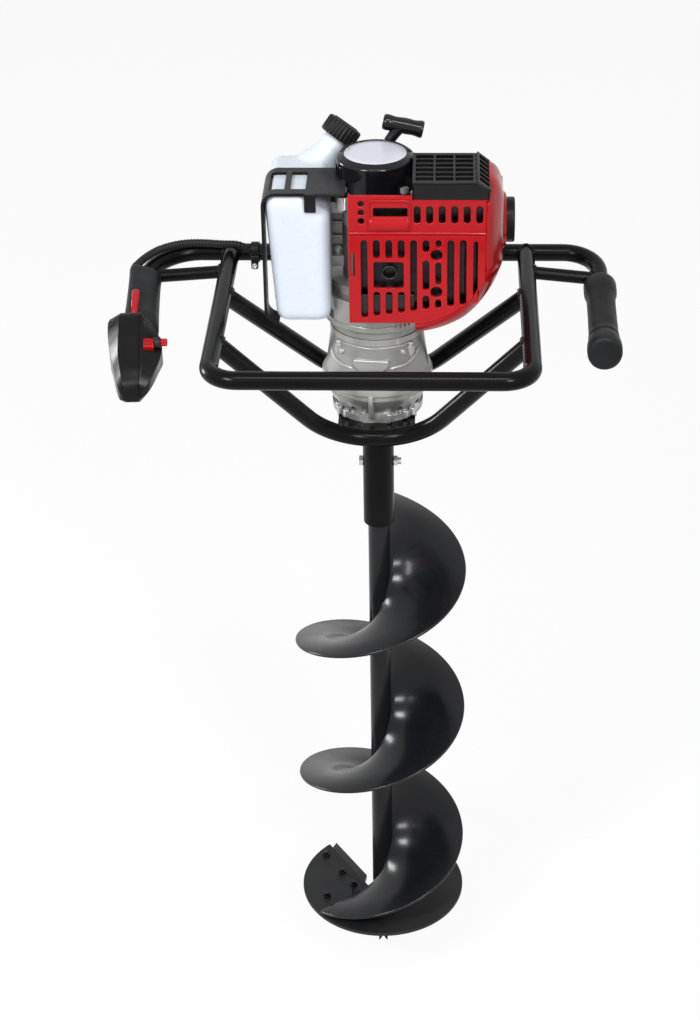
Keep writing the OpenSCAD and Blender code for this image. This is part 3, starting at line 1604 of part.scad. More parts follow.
// Shell of the throttle housing with rooms for its controls
module throttle_shell() {
  length = norm(left_end - left_corner);
  difference() {
    union() {
      difference() {
        throttle_form(0);
        throttle_form(throttle_wall);
      }
      intersection() {
        throttle_form(0);
        throttle_ribs();
      }
    }
    cylinder(h = length + seat_gap, d = tube_d + 2 * seat_gap);
    translate(trigger_pivot) pin_bore(trigger_pin);
    translate(lock_pivot) pin_bore(lock_pin);
    translate(lock_pivot) box([-lock_w / 2 - control_room, -lock_t, -lock_length],
                              [lock_w / 2 + control_room, throttle_top, lock_t]);
    box(switch_low - control_room * [1, 1, 1],
        switch_low + [switch_size[0], throttle_top, switch_size[2] + switch_travel]
          + control_room * [1, 0, 1]);
    translate(button_place)
      bar_x(-button_travel - control_room, 0, 0, throttle_w, button_d / 2 + running_gap);
  }
}

module throttle_case_outer() {
  color(black) on_handle(left_corner, left_end) difference() {
    throttle_shell();
    box([0, -2 * throttle_w, 0], [2 * throttle_w, 2 * throttle_w, throttle_far]);
  }
}

// Inner half of the throttle housing, with the switch and the button
module throttle_case_inner() {
  color(black) on_handle(left_corner, left_end) difference() {
    throttle_shell();
    box([-2 * throttle_w, -2 * throttle_w, 0], [seat_gap, 2 * throttle_w, throttle_far]);
  }
}

// Finger lever under the left grip, on its own pin
module throttle_trigger() {
  color(black) on_handle(left_corner, left_end) translate(trigger_pivot) {
    bar_x(-trigger_pin / 2, 0, 0, trigger_pin, pin_r);
    bar_x(-trigger_w / 2, 0, 0, trigger_w, trigger_t - cut);
    rotate([-trigger_droop, 0, 0]) {
      box([-trigger_w / 2, -trigger_t, -trigger_length], [trigger_w / 2, 0, 0]);
      bar_x(-trigger_w / 2, -trigger_t, -trigger_length, trigger_w, trigger_t / 2);
    }
  }
}

// Red lever on top of the left grip
module lock_lever() {
  color(red) on_handle(left_corner, left_end) translate(lock_pivot) {
    bar_x(-lock_pin / 2, 0, 0, lock_pin, pin_r);
    rotate([lock_lift, 0, 0]) {
      box([-lock_w / 2, -lock_t / 2, -lock_length], [lock_w / 2, lock_t / 2, 0]);
      bar_x(-lock_w / 2, 0, -lock_length, lock_w, lock_t / 2 + elbow_relief);
      bar_x(-lock_w / 2, 0, 0, lock_w, lock_t / 2 + elbow_relief);
    }
  }
}

module stop_switch() {
  color(red) on_handle(left_corner, left_end) translate(switch_low) cube(switch_size);
}

// Push button that holds the half throttle
module throttle_button() {
  color(red) on_handle(left_corner, left_end)
    translate(button_place) bar_x(0, 0, 0, button_length, button_d / 2);
}

// Tube of eight sides swept along a route
module sweep(route, d) {
  n = len(route);
  sides = 8;
  function heading(i) = unit(route[min(i + 1, n - 1)] - route[max(i - 1, 0)]);
  points = [for (i = [0 : n - 1]) let (h = heading(i), a = unit(cross(h, [0.1, 0.2, 1])), b = cross(h, a))
    for (k = [0 : sides - 1]) route[i] + d / 2 * (cos(360 * k / sides) * a + sin(360 * k / sides) * b)];
  walls = [for (i = [0 : n - 2], k = [0 : sides - 1]) let (a = i * sides + k, b = i * sides + (k + 1) % sides)
    each [[a, b, b + sides], [a, b + sides, a + sides]]];
  foot = [for (k = [1 : sides - 2]) [0, k + 1, k]];
  last = (n - 1) * sides;
  head = [for (k = [1 : sides - 2]) [last, last + k, last + k + 1]];
  polyhedron(points = points, faces = concat(walls, foot, head), convexity = 8);
}

module throttle_cable() {
  z = unit(left_end - left_corner);
  x = unit(cross([0, 0, 1], z));
  y = cross(z, x);
  on_grip = [for (reach = cable_handle) left_corner + cable_side * x + cable_height * y + reach * z];
  bend = [for (p = cable_bend) [p[0], p[1], bar_z + p[2]]];
  straight = [for (i = [0 : 3]) [conduit_x[0] + (conduit_x[1] - conduit_x[0]) * i / 3, conduit_y, conduit_z]];
  rise = [for (p = cable_rise) [p[0], p[1], conduit_z + p[2]]];
  color(black) sweep(concat(on_grip, bend, straight, rise), cable_d);
}

// Ribbed conduit round the cable beside the crossbar
module cable_conduit() {
  length = conduit_x[1] - conduit_x[0];
  ribs = floor(length / conduit_pitch);
  inner = conduit_bore / 2;
  crest = conduit_d / 2;
  valley = crest - conduit_rib;
  ridge = [for (i = [0 : ribs - 1]) let (x = i * conduit_pitch)
    each [[valley, x], [valley, x + conduit_pitch * 0.3],
          [crest, x + conduit_pitch * 0.4], [crest, x + conduit_pitch * 0.9]]];
  outline = concat([[inner, 0]], ridge, [[inner, ribs * conduit_pitch]]);
  color(dark) translate([conduit_x[0], conduit_y, conduit_z]) rotate([0, 90, 0])
    rotate_extrude() polygon(outline);
}

// Clip that holds the cable to the crossbar
module cable_clamp() {
  color(black) difference() {
    union() {
      bar_x(clamp_x, bar_back, bar_z, clamp_w, tube_r + clamp_t);
      bar_x(clamp_x, conduit_y, conduit_z, clamp_w, conduit_d / 2 + clamp_t);
    }
    bar_x(clamp_x - cut, bar_back, bar_z, clamp_w + 2 * cut, tube_r + running_gap);
    bar_x(clamp_x - cut, conduit_y, conduit_z, clamp_w + 2 * cut, conduit_d / 2 + seat_gap);
  }
}

pilot_point();
base_disc();
cutter_blade();
blade_bolts();
drill_tube();
drill_flight();
drive_socket();
drive_pin();
output_shaft();
output_gear();
intermediate_gear();
clutch_drum();
lower_case();
bearing_plate();
upper_case();
bearings();
case_screws();
fan_housing();
crankcase_lower();
crankcase_upper();
cylinder_block();
spark_plug();
muffler();
carburettor();
air_cleaner();
engine_shroud();
end_cover();
louvre_cover();
recoil_housing();
recoil_badge();
crankshaft();
flywheel();
clutch_shoes();
piston();
rod_pins();
connecting_rod();
starter_pulley();
starter_grip();
starter_rope();
throttle_arm();
fuel_tank();
fuel_cap();
tank_guard();
handle_tube();
guard_loop();
front_v_tube();
rear_v_tube();
handle_braces();
mounting_plate();
right_grip();
left_grip();
throttle_case_outer();
throttle_case_inner();
throttle_trigger();
lock_lever();
stop_switch();
throttle_button();
throttle_cable();
cable_conduit();
cable_clamp();
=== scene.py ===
"""Looks of the earth auger: camera, light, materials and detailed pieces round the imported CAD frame."""

import json
import math
import random

import bmesh
import bpy
from mathutils import Matrix, Vector

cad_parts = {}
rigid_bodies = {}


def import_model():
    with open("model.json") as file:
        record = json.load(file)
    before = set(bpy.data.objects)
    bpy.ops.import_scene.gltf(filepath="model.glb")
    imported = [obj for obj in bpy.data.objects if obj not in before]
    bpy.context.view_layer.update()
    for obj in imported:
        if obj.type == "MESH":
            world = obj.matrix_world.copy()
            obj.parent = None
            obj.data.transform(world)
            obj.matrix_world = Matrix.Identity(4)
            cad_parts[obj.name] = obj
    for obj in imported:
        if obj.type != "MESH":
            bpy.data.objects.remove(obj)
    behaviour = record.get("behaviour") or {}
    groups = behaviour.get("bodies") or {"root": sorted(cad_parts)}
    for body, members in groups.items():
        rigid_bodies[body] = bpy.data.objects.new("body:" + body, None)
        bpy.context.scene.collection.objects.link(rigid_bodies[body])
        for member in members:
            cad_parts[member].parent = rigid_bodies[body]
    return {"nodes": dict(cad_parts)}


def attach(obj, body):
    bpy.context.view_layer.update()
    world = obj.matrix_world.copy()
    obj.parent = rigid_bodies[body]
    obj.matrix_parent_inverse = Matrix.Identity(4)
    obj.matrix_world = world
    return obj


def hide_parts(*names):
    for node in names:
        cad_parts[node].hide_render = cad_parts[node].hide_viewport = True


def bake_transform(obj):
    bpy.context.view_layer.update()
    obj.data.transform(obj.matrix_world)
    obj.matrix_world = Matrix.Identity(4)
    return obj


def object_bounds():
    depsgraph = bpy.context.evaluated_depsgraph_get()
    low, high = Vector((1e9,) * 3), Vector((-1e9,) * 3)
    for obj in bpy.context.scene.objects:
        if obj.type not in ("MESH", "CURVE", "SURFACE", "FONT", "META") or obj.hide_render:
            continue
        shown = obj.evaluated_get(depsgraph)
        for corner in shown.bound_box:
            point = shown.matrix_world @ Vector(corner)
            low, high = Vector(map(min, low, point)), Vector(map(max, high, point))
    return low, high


for thing in list(bpy.data.objects):
    bpy.data.objects.remove(thing)

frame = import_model()
nodes = frame["nodes"]
cad_low, cad_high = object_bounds()
scene = bpy.context.scene
MM = 0.001
ROOT = "frame_and_engine"
UP = Vector((0, 0, 1))
RIGHT = Vector((1, 0, 0))
BACK = Vector((0, 1, 0))

# Height of the crankshaft, and the plane of the engine's front
CRANK_Z = 919
FRONT = -85


# Materials

WHITE = (1, 1, 1, 1)


def plug(node, sockets):
    """Sets sockets of a shader node, by name or number, to values or links them to other sockets."""
    for key, value in sockets.items():
        if isinstance(value, bpy.types.NodeSocket):
            node.id_data.links.new(value, node.inputs[key])
        else:
            node.inputs[key].default_value = value
    return node


def add_node(tree, kind, sockets=None):
    """Adds a shader node with its sockets set or linked."""
    return plug(tree.nodes.new("ShaderNode" + kind), sockets or {})


class Surface:
    """Principled material whose colour, roughness and relief wander with noise of a scale and detail."""

    def __init__(self, name, base, rough, metallic=0.0, specular=0.5):
        self.name = name
        self.material = bpy.data.materials.new(name)
        self.material.use_nodes = True
        self.tree = self.material.node_tree
        self.place = add_node(self.tree, "TexCoord").outputs["Object"]
        self.height = None
        self.tint = None
        self.base = base
        self.rough = rough
        self.shade({"Metallic": metallic, "Specular IOR Level": specular})

    def shade(self, sockets):
        """Sets or links sockets of the main shader."""
        plug(self.tree.nodes["Principled BSDF"], sockets)
        return self

    def noise(self, scale, detail, stretch=None):
        """Noise in object space, with an optional stretch along the axes."""
        place = self.place
        if stretch:
            place = add_node(self.tree, "Mapping", {"Vector": place, "Scale": stretch}).outputs["Vector"]
        sockets = {"Vector": place, "Scale": scale, "Detail": detail}
        return add_node(self.tree, "TexNoise", sockets).outputs["Fac"]

    def ramp(self, factor, low, high, first, second):
        """Colours that run from the first to the second between two values of a factor."""
        node = add_node(self.tree, "ValToRGB", {"Fac": factor})
        for element, position, colour in zip(node.color_ramp.elements, (low, high), (first, second)):
            element.position = position
            element.color = (*colour, 1)
        return node.outputs["Color"]

    def colour(self, other, scale, detail=4, low=0.35, high=0.7):
        """Base colour that wanders towards another colour."""
        self.tint = self.ramp(self.noise(scale, detail), low, high, self.base, other)
        return self.shade({"Base Color": self.tint})

    def worn(self, lighter, low=0.515, high=0.60):
        """Lighter colour on the sharp edges, where handling rubs them."""
        edge = add_node(self.tree, "NewGeometry").outputs["Pointiness"]
        amount = self.ramp(edge, low, high, (0, 0, 0), (1, 1, 1))
        mix = add_node(self.tree, "Mix")
        mix.data_type = "RGBA"
        plug(mix, {0: amount, 6: self.tint, 7: (*lighter, 1)})
        self.tint = mix.outputs[2]
        return self.shade({"Base Color": self.tint})

    def gloss(self, swing, scale, detail=4, stretch=None, low=0.3, high=0.7, least=0.02):
        """Roughness that wanders round its mean."""
        sockets = {"Value": self.noise(scale, detail, stretch), "From Min": low, "From Max": high,
                   "To Min": max(self.rough - swing, least), "To Max": self.rough + swing}
        return self.shade({"Roughness": add_node(self.tree, "MapRange", sockets).outputs["Result"]})

    def relief(self, strength, scale, detail=2, distance=0.0004, stretch=None):
        """Bump, laid on any relief that is there already."""
        sockets = {"Strength": strength, "Distance": distance, "Height": self.noise(scale, detail, stretch)}
        if self.height is not None:
            sockets["Normal"] = self.height
        self.height = add_node(self.tree, "Bump", sockets).outputs["Normal"]
        return self.shade({"Normal": self.height})

    def coat(self, weight, rough):
        """Clear layer over the colour."""
        return self.shade({"Coat Weight": weight, "Coat Roughness": rough})

    def milky(self, weight, scale, radius):
        """Light that spreads under the skin."""
        return self.shade({"Subsurface Weight": weight, "Subsurface Scale": scale,
                           "Subsurface Radius": radius})


SURFACES = [
    # Paints and metals
    Surface("frame_paint", (0.0020, 0.0019, 0.0021), 0.22, specular=0.10)
    .colour((0.0042, 0.0038, 0.0040), 9).worn((0.010, 0.009, 0.009), 0.57, 0.68).gloss(0.04, 40)
    .relief(0.06, 420).relief(0.03, 60, distance=0.001),
    Surface("drill_paint", (0.0030, 0.0033, 0.0046), 0.25, specular=0.16)
    .colour((0.0062, 0.0066, 0.0086), 7).worn((0.016, 0.016, 0.018)).gloss(0.05, 25)
    .relief(0.05, 260, 3).relief(0.16, 14, distance=0.0015).coat(0.16, 0.16),
    Surface("disc_paint", (0.009, 0.0095, 0.0108), 0.40, specular=0.16)
    .colour((0.016, 0.0165, 0.018), 14).worn((0.035, 0.034, 0.033)).gloss(0.08, 50)
    .relief(0.12, 300, 3).relief(0.1, 30, distance=0.001),
    Surface("steel", (0.56, 0.565, 0.575), 0.38, metallic=0.75)
    .colour((0.44, 0.445, 0.455), 60).gloss(0.1, 200, 2, (1, 1, 8)).relief(0.1, 600, stretch=(1, 1, 6)),
    Surface("dark_steel", (0.035, 0.035, 0.038), 0.36, metallic=1.0)
    .colour((0.022, 0.022, 0.024), 60).worn((0.12, 0.12, 0.12)).gloss(0.1, 200).relief(0.1, 500),
    Surface("cast_alloy", (0.30, 0.30, 0.287), 0.40, metallic=0.55)
    .colour((0.22, 0.22, 0.207), 22, 6).worn((0.52, 0.52, 0.50)).gloss(0.09, 70)
    .relief(0.16, 900, 3).relief(0.1, 90, 3, 0.0008),
    # Plastics
    Surface("red_plastic", (0.35, 0.0044, 0.0070), 0.20, specular=0.18)
    .colour((0.31, 0.0037, 0.0058), 12).gloss(0.05, 60)
    .relief(0.05, 350).relief(0.05, 25, distance=0.001).coat(0.10, 0.10),
    Surface("black_plastic", (0.0045, 0.0045, 0.0050), 0.36, specular=0.11)
    .colour((0.0085, 0.0085, 0.0090), 30).worn((0.02, 0.02, 0.021)).gloss(0.07, 120)
    .relief(0.2, 1400, distance=0.0002),
    Surface("satin_black_plastic", (0.0038, 0.0038, 0.0043), 0.22, specular=0.13)
    .colour((0.0064, 0.0064, 0.0070), 24).gloss(0.05, 90).relief(0.10, 900, distance=0.0002),
    Surface("shiny_black_plastic", (0.0034, 0.0035, 0.0045), 0.15, specular=0.22)
    .colour((0.0075, 0.0075, 0.0090), 20).gloss(0.03, 80).relief(0.03, 260).coat(0.10, 0.08),
    Surface("badge_plastic", (0.56, 0.56, 0.635), 0.24, specular=0.4)
    .colour((0.53, 0.535, 0.61), 15).gloss(0.05, 60).relief(0.03, 200),
    Surface("tank_plastic", (0.56, 0.61, 0.67), 0.30, specular=0.4)
    .colour((0.53, 0.58, 0.645), 9).gloss(0.06, 70).relief(0.06, 500).relief(0.05, 20, distance=0.0015)
    .milky(0.15, 0.006, (1.0, 1.1, 1.3)),
    # Rubber and rope
    Surface("rubber", (0.0075, 0.0078, 0.0085), 0.46, specular=0.12)
    .colour((0.014, 0.0145, 0.0155), 25).worn((0.026, 0.026, 0.027)).gloss(0.08, 90)
    .relief(0.25, 1100, distance=0.0003),
    Surface("rope", (0.020, 0.020, 0.022), 0.8, specular=0.2)
    .colour((0.045, 0.045, 0.05), 700, 2).gloss(0.08, 300).relief(0.5, 1500),
]
MATERIALS = {surface.name: surface.material for surface in SURFACES}

NODE_MATERIALS = {
    "drill_paint": ["pilot_point", "drill_tube", "drill_flight"],
    "disc_paint": ["base_disc"],
    "frame_paint": ["drive_socket", "handle_tube", "guard_loop", "front_v_tube", "rear_v_tube",
                    "handle_braces", "mounting_plate"],
    "dark_steel": ["cutter_blade", "blade_bolts", "muffler", "clutch_shoes"],
    "steel": ["drive_pin", "output_shaft", "output_gear", "intermediate_gear", "clutch_drum", "bearings",
              "case_screws", "crankshaft", "rod_pins", "connecting_rod", "throttle_arm", "spark_plug"],
    "cast_alloy": ["lower_case", "bearing_plate", "upper_case", "fan_housing", "crankcase_lower",
                   "crankcase_upper", "cylinder_block", "carburettor", "flywheel", "piston"],
    "red_plastic": ["engine_shroud", "lock_lever", "stop_switch", "throttle_button"],
    "black_plastic": ["air_cleaner", "end_cover", "louvre_cover", "starter_pulley", "fuel_cap", "tank_guard",
                      "throttle_case_outer", "throttle_case_inner", "throttle_trigger", "cable_clamp"],
    "shiny_black_plastic": ["recoil_housing", "starter_grip"],
    "badge_plastic": ["recoil_badge"],
    "tank_plastic": ["fuel_tank"],
    "rubber": ["right_grip", "left_grip", "throttle_cable", "cable_conduit"],
    "rope": ["starter_rope"],
}


# Points and matrices, in millimetres, degrees and the shared frame

def spread(first, last, steps):
    """Even steps from one value to another, with both ends."""
    return [first + (last - first) * k / steps for k in range(steps + 1)]


def polar(r, angle, z=0):
    """Point by radius, angle and height about the drill's axis."""
    turn = math.radians(angle)
    return Vector((r * math.cos(turn), r * math.sin(turn), z))


def arc(x, y, r, start, end, steps, tall=None):
    """Points of an arc about a centre; with a second radius it's part of an ellipse."""
    turns = [math.radians(angle) for angle in spread(start, end, steps)]
    return [(x + r * math.cos(turn), y + (tall or r) * math.sin(turn)) for turn in turns]


def slot_loop(x, low, high, width, steps=8):
    """Upright slot with round ends."""
    r = width / 2
    return arc(x, high - r, r, 0, 180, steps) + arc(x, low + r, r, 180, 360, steps)


def round_box(x0, y0, x1, y1, r, steps=5):
    """Rectangle with round corners."""
    corners = [(x1 - r, y1 - r, 0), (x0 + r, y1 - r, 90), (x0 + r, y0 + r, 180), (x1 - r, y0 + r, 270)]
    return [point for x, y, start in corners for point in arc(x, y, r, start, start + 90, steps)]


def circle_loop(x, y, r, steps=24):
    """Circle whose first point isn't repeated at its end."""
    return arc(x, y, r, 0, 360, steps)[:-1]


def smooth_path(points, step=None, count=None):
    """Points along a smooth curve through the given ones, about a step apart or a count to each stretch."""
    points = [Vector(p) for p in points]
    last = len(points) - 1
    result = []
    for i in range(last):
        a, b, c, d = (points[min(max(i + k, 0), last)] for k in (-1, 0, 1, 2))
        parts = count or max(1, round((c - b).length / step))
        for k in range(parts):
            t = k / parts
            result.append(0.5 * (2 * b + (c - a) * t + (2 * a - 5 * b + 4 * c - d) * t ** 2
                                 + (3 * b - a - 3 * c + d) * t ** 3))
    return result + [points[-1]]


def axes(x, y, z, place=(0, 0, 0)):
    """Matrix with the given axes and place."""
    matrix = Matrix((Vector(x), Vector(y), Vector(z))).transposed().to_4x4()
    matrix.translation = Vector(place)
    return matrix


def facing(place, way, hint=RIGHT):
    """Matrix at a place with local Z along a direction and local X near a hint."""
    z = Vector(way).normalized()
    x = Vector(hint)
    x = (x - x.dot(z) * z).normalized()
    return axes(x, z.cross(x), z, place)


def front_axes(y, x=0, z=CRANK_Z):
    """Local X across, local Y up from the crankshaft and local Z out of the engine's front."""
    return axes(RIGHT, UP, -BACK, (x, y, z))


def side_axes(x):
    """Local X to the back, local Y up from the crankshaft and local Z to the right."""
    return axes(BACK, UP, RIGHT, (x, 0, CRANK_Z))


# Mesh tools

def link_mesh(name, mesh, material):
    """Smooth object of a mesh, in one material."""
    mesh.materials.clear()
    mesh.materials.append(material)
    for polygon in mesh.polygons:
        polygon.use_smooth = True
    obj = bpy.data.objects.new(name, mesh)
    scene.collection.objects.link(obj)
    return obj


def settle(name, work, material):
    """Object from a bmesh, which is freed."""
    mesh = bpy.data.meshes.new(name)
    work.to_mesh(mesh)
    work.free()
    return link_mesh(name, mesh, material)


def joined(name, parts):
    """One object from several that lie in the shared frame."""
    work = bmesh.new()
    for part in parts:
        work.from_mesh(part.data)
    whole = settle(name, work, parts[0].data.materials[0])
    for part in parts:
        bpy.data.objects.remove(part)
    return whole


def add_mesh(name, points, faces, material):
    """Mesh object from points in millimetres, with its faces turned outwards."""
    mesh = bpy.data.meshes.new(name)
    mesh.from_pydata([tuple(Vector(p) * MM) for p in points], [], faces)
    work = bmesh.new()
    work.from_mesh(mesh)
    bmesh.ops.recalc_face_normals(work, faces=work.faces)
    work.to_mesh(mesh)
    work.free()
    return link_mesh(name, mesh, MATERIALS[material])


def band(first, second, wrap):
    """Faces between two rows of point numbers, either of which may be a single pole."""
    count = max(len(first), len(second))
    faces = []
    for k in range(count if wrap else count - 1):
        face = [first[k % len(first)], first[(k + 1) % len(first)],
                second[(k + 1) % len(second)], second[k % len(second)]]
        faces.append(list(dict.fromkeys(face)))
    return faces


def skin(name, rows, material, loop=False, caps=False, wrap=True):
    """Mesh over rows of points; rows that wrap are rings, and rows that don't make an open sheet."""
    points, numbers = [], []
    for row in rows:
        numbers.append(list(range(len(points), len(points) + len(row))))
        points += row
    pairs = list(zip(numbers, numbers[1:])) + ([(numbers[-1], numbers[0])] if loop else [])
    faces = [face for first, second in pairs for face in band(first, second, wrap)]
    if caps:
        faces += [numbers[0][::-1], numbers[-1]]
    return add_mesh(name, points, faces, material)


def lathe(name, profile, material, at=Matrix(), segments=64, wave=None, closed=False):
    """Turns a profile of radius and height about local Z; a wave may change the radius by angle."""
    rings = []
    for i, (r, z) in enumerate(profile):
        count = segments if r > 0 else 1
        ring = []
        for k in range(count):
            angle = math.tau * k / segments
            reach = r + (wave(i, angle) if wave and count > 1 else 0)
            ring.append(at @ Vector((reach * math.cos(angle), reach * math.sin(angle), z)))
        rings.append(ring)
    return skin(name, rings, material, loop=closed)


def headings(path, loop):
    """Direction of a path at each of its points."""
    before, after = (path[-1], path[0]) if loop else (path[0], path[-1])
    padded = [before, *path, after]
    return [(later - earlier).normalized() for earlier, later in zip(padded, padded[2:])]


def sweep(name, path, radius, material, sides, loop=False):
    """Round bar along a path; the radius is a number or a function of the point's number."""
    path = [Vector(p) for p in path]
    ways = headings(path, loop)
    side = ways[0].orthogonal().normalized()
    rings = []
    for i, (point, way) in enumerate(zip(path, ways)):
        side = (side - side.dot(way) * way).normalized()
        up = way.cross(side)
        r = radius(i) if callable(radius) else radius
        rings.append([point + r * (x * side + y * up) for x, y in circle_loop(0, 0, 1, sides)])
    return skin(name, rings, material, loop, caps=not loop)


def plate(name, loops, thickness, bevel, material, at):
    """Flat plate from an outline and its holes, with round edges, centred on local Z."""
    curve = bpy.data.curves.new(name, "CURVE")
    curve.dimensions = "2D"
    curve.fill_mode = "BOTH"
    for i, loop in enumerate(loops):
        area = sum(a[0] * b[1] - a[1] * b[0] for a, b in zip(loop, loop[1:] + loop[:1]))
        if (area > 0) == (i > 0):
            loop = loop[::-1]
        spline = curve.splines.new("POLY")
        spline.points.add(len(loop) - 1)
        for point, (x, y) in zip(spline.points, loop):
            point.co = (x * MM, y * MM, 0, 1)
        spline.use_cyclic_u = True
    curve.extrude = (thickness / 2 - bevel) * MM
    curve.bevel_depth = bevel * MM
    curve.bevel_resolution = 2
    curve.offset = -bevel * MM
    shape = bpy.data.objects.new(name, curve)
    scene.collection.objects.link(shape)
    bpy.context.view_layer.update()
    mesh = bpy.data.meshes.new_from_object(shape.evaluated_get(bpy.context.evaluated_depsgraph_get()))
    bpy.data.objects.remove(shape)
    place = at.copy()
    place.translation = at.translation * MM
    mesh.transform(place)
    return link_mesh(name, mesh, MATERIALS[material])


def radial_rib(outline, angle, thickness, bevel, material):
    """Upright plate that points away from the drill's axis."""
    out = polar(1, angle)
    return plate("rib", [outline], thickness, bevel, material, axes(out, UP, out.cross(UP)))


def modify(obj, name, kind, **settings):
    """Adds a modifier with the given settings."""
    modifier = obj.modifiers.new(name, kind)
    for setting, value in settings.items():
        setattr(modifier, setting, value)


def round_edges(obj, width, segments, angle):
    """Bevels the edges that turn by more than an angle."""
    modify(obj, "bevel", "BEVEL", width=width * MM, segments=segments, limit_method="ANGLE",
           angle_limit=math.radians(angle))


def dress(obj, width, segments=2, angle=35):
    """Welds split vertices and rounds the hard edges."""
    for polygon in obj.data.polygons:
        polygon.use_smooth = True
    modify(obj, "weld", "WELD", merge_threshold=0.02 * MM)
    round_edges(obj, width, segments, angle)
    modify(obj, "normals", "WEIGHTED_NORMAL", keep_sharp=True, weight=80)
    return obj


def carry(obj, body=ROOT, replaces=()):
    """Lets a piece move with a body and stand for CAD nodes."""
    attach(obj, body)
    if replaces:
        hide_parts(*replaces)


def screw_head(at, d, h):
    """Round screw head with a socket, its foot at local zero."""
    r = d / 2
    profile = [(0, 0.5 * h), (0.5 * r, 0.45 * h), (0.55 * r, 0.95 * h), (0.6 * r, h), (0.88 * r, h),
               (r, 0.86 * h), (r, 0), (0, 0)]
    return lathe("screw", profile, "steel", at, 24)


def make_screw_ring(name, angles, r, z, d, h):
    """Screw heads round the drill's axis as one piece."""
    heads = [screw_head(Matrix.Translation(polar(r, angle, z)), d, h) for angle in angles]
    carry(dress(joined(name, heads), 0.25, 1, 40))


# Dressing of the CAD nodes

PLAIN_BEVEL = 0.4
BEVELS = {"base_disc": 0.6, "cutter_blade": 0.3, "lower_case": 0.9, "upper_case": 0.9, "bearing_plate": 0.9,
          "fan_housing": 0.8}

for slot_name, members in NODE_MATERIALS.items():
    for member in members:
        nodes[member].data.materials.clear()
        nodes[member].data.materials.append(MATERIALS[slot_name])
        dress(nodes[member], BEVELS.get(member, PLAIN_BEVEL))


# Drill

def make_flight():
    """Screw flight with a weld fillet at its root and a rounded rim."""
    turns, start, foot, pitch, steps_per_turn = 2.65, -140, 12.15, 193.96, 120
    section = [(12.3, -2.5), (14.5, -0.6), (17, 0), (40, 0), (70, 0), (98.6, 0), (99.8, 0.7), (100.1, 2),
               (99.8, 3.3), (98.6, 4), (70, 4), (40, 4), (17, 4), (14.5, 4.6), (12.3, 6.5)]
    rings = [[polar(r, start + turn, foot + pitch * turn / 360 + z) for r, z in section]
             for turn in spread(0, 360 * turns, round(turns * steps_per_turn))]
    flight = skin("screw_flight", rings, "drill_paint", caps=True)
    round_edges(flight, 0.5, 2, 60)
    carry(flight, "drill", ["drill_flight"])


# Gearbox and fan housing

CASE_TURN = -95.5


def case_point(angle, z, out):
    """Point on the gearbox's front by angle and height, a little proud of the surface."""
    case_r, cone_foot, cone_h, cone_fall = 57, 742, 51, 7
    return polar(case_r - cone_fall * max(z - cone_foot, 0) / cone_h + out, angle, z)


def case_bead(route, r):
    """Cast bead along a route of angles and heights, thinner at its ends."""
    proud, step, tip, growth = 0.2, 1.5, 0.35, 0.2
    path = smooth_path([case_point(angle, z, proud) for angle, z in route], step)
    last = len(path) - 1
    return sweep("bead", path, lambda i: r * min(1, tip + growth * min(i, last - i)), "cast_alloy", 10)


def make_case_castings():
    """Beads, pad, rib, bosses and studs of the gearbox's cases, and the screws in the bosses."""
    routes = [(1.7, [(-161, 776), (-150, 770), (-141, 767.5), (-131, 766), (-118, 765)]),
              (1.7, [(-74, 766.5), (-61, 767.6), (-52, 769), (-45, 771), (-36, 775.5), (-29, 781)]),
              (1.3, [(-132, 737), (-117, 737), (-107, 736.5), (-101.5, 734), (-100.2, 730)]),
              (1.3, [(-91, 730), (-90, 734), (-85, 736.8), (-75, 737.6), (-60, 737)]),
              (1.1, [(-150, 791.5), (-130, 790.5), (-95.5, 790), (-61, 790.5), (-41, 791.5)])]
    parts = [case_bead(route, r) for r, route in routes]
    # Half round pad over the front bar and the rib under it
    pad_half, pad_top, pad_out, pad_z = 19, 7, 51.6, 770.5
    pad = [(-pad_half, pad_top)] + arc(0, 3, pad_half, 180, 360, 16, tall=11) + [(pad_half, pad_top)]
    out = polar(1, CASE_TURN)
    at = axes(polar(1, CASE_TURN + 90), UP, out, pad_out * out + pad_z * UP)
    parts.append(plate("pad", [pad], 7, 1.4, "cast_alloy", at))
    rib = [(44, 703), (53, 705), (60.4, 727), (60.6, 737), (58, 741), (44, 741)]
    parts.append(radial_rib(rib, CASE_TURN, 5.5, 1.6, "cast_alloy"))
    # Bosses of the screws under the fan housing, and two studs
    boss_angles, boss_r, boss_z, head_z = (-143, -43, 40, 140), 50.6, 774, 787.4
    boss = [(0, 0), (2.6, 0.8), (4.2, 4), (4.5, 13), (4.2, 13.6), (0, 13.6)]
    for angle in boss_angles:
        parts.append(lathe("boss", boss, "cast_alloy", Matrix.Translation(polar(boss_r, angle, boss_z)), 24))
    stud, sunk = [(0, 4.4), (2.2, 4.4), (3.2, 3.6), (3.5, 0), (0, 0)], -1.5
    for angle, z in ((-135.7, 780.5), (-55.5, 783)):
        at = facing(case_point(angle, z, sunk), polar(1, angle), UP)
        parts.append(lathe("stud", stud, "cast_alloy", at, 24))
    carry(dress(joined("gearbox_castings", parts), 0.3, 1, 50))
    make_screw_ring("gearbox_screws", boss_angles, boss_r, head_z, 6.4, 3.8)


def make_lower_bolts():
    """Joint ring round the gearbox and the bolts that hold it to the frame's plate."""
    ring = [(56, 734), (59.4, 735), (60.4, 736.6), (60.4, 744), (59.4, 745.6), (56, 747)]
    carry(dress(lathe("joint_ring", ring, "cast_alloy", Matrix(), 128, closed=True), 0.4))
    bolt_angles, bolt_r, plate_top = (-144, -131, -74, -52, -40, 40, 90, 140), 50.5, 701
    make_screw_ring("plate_bolts", bolt_angles, bolt_r, plate_top, 6.8, 8.6)


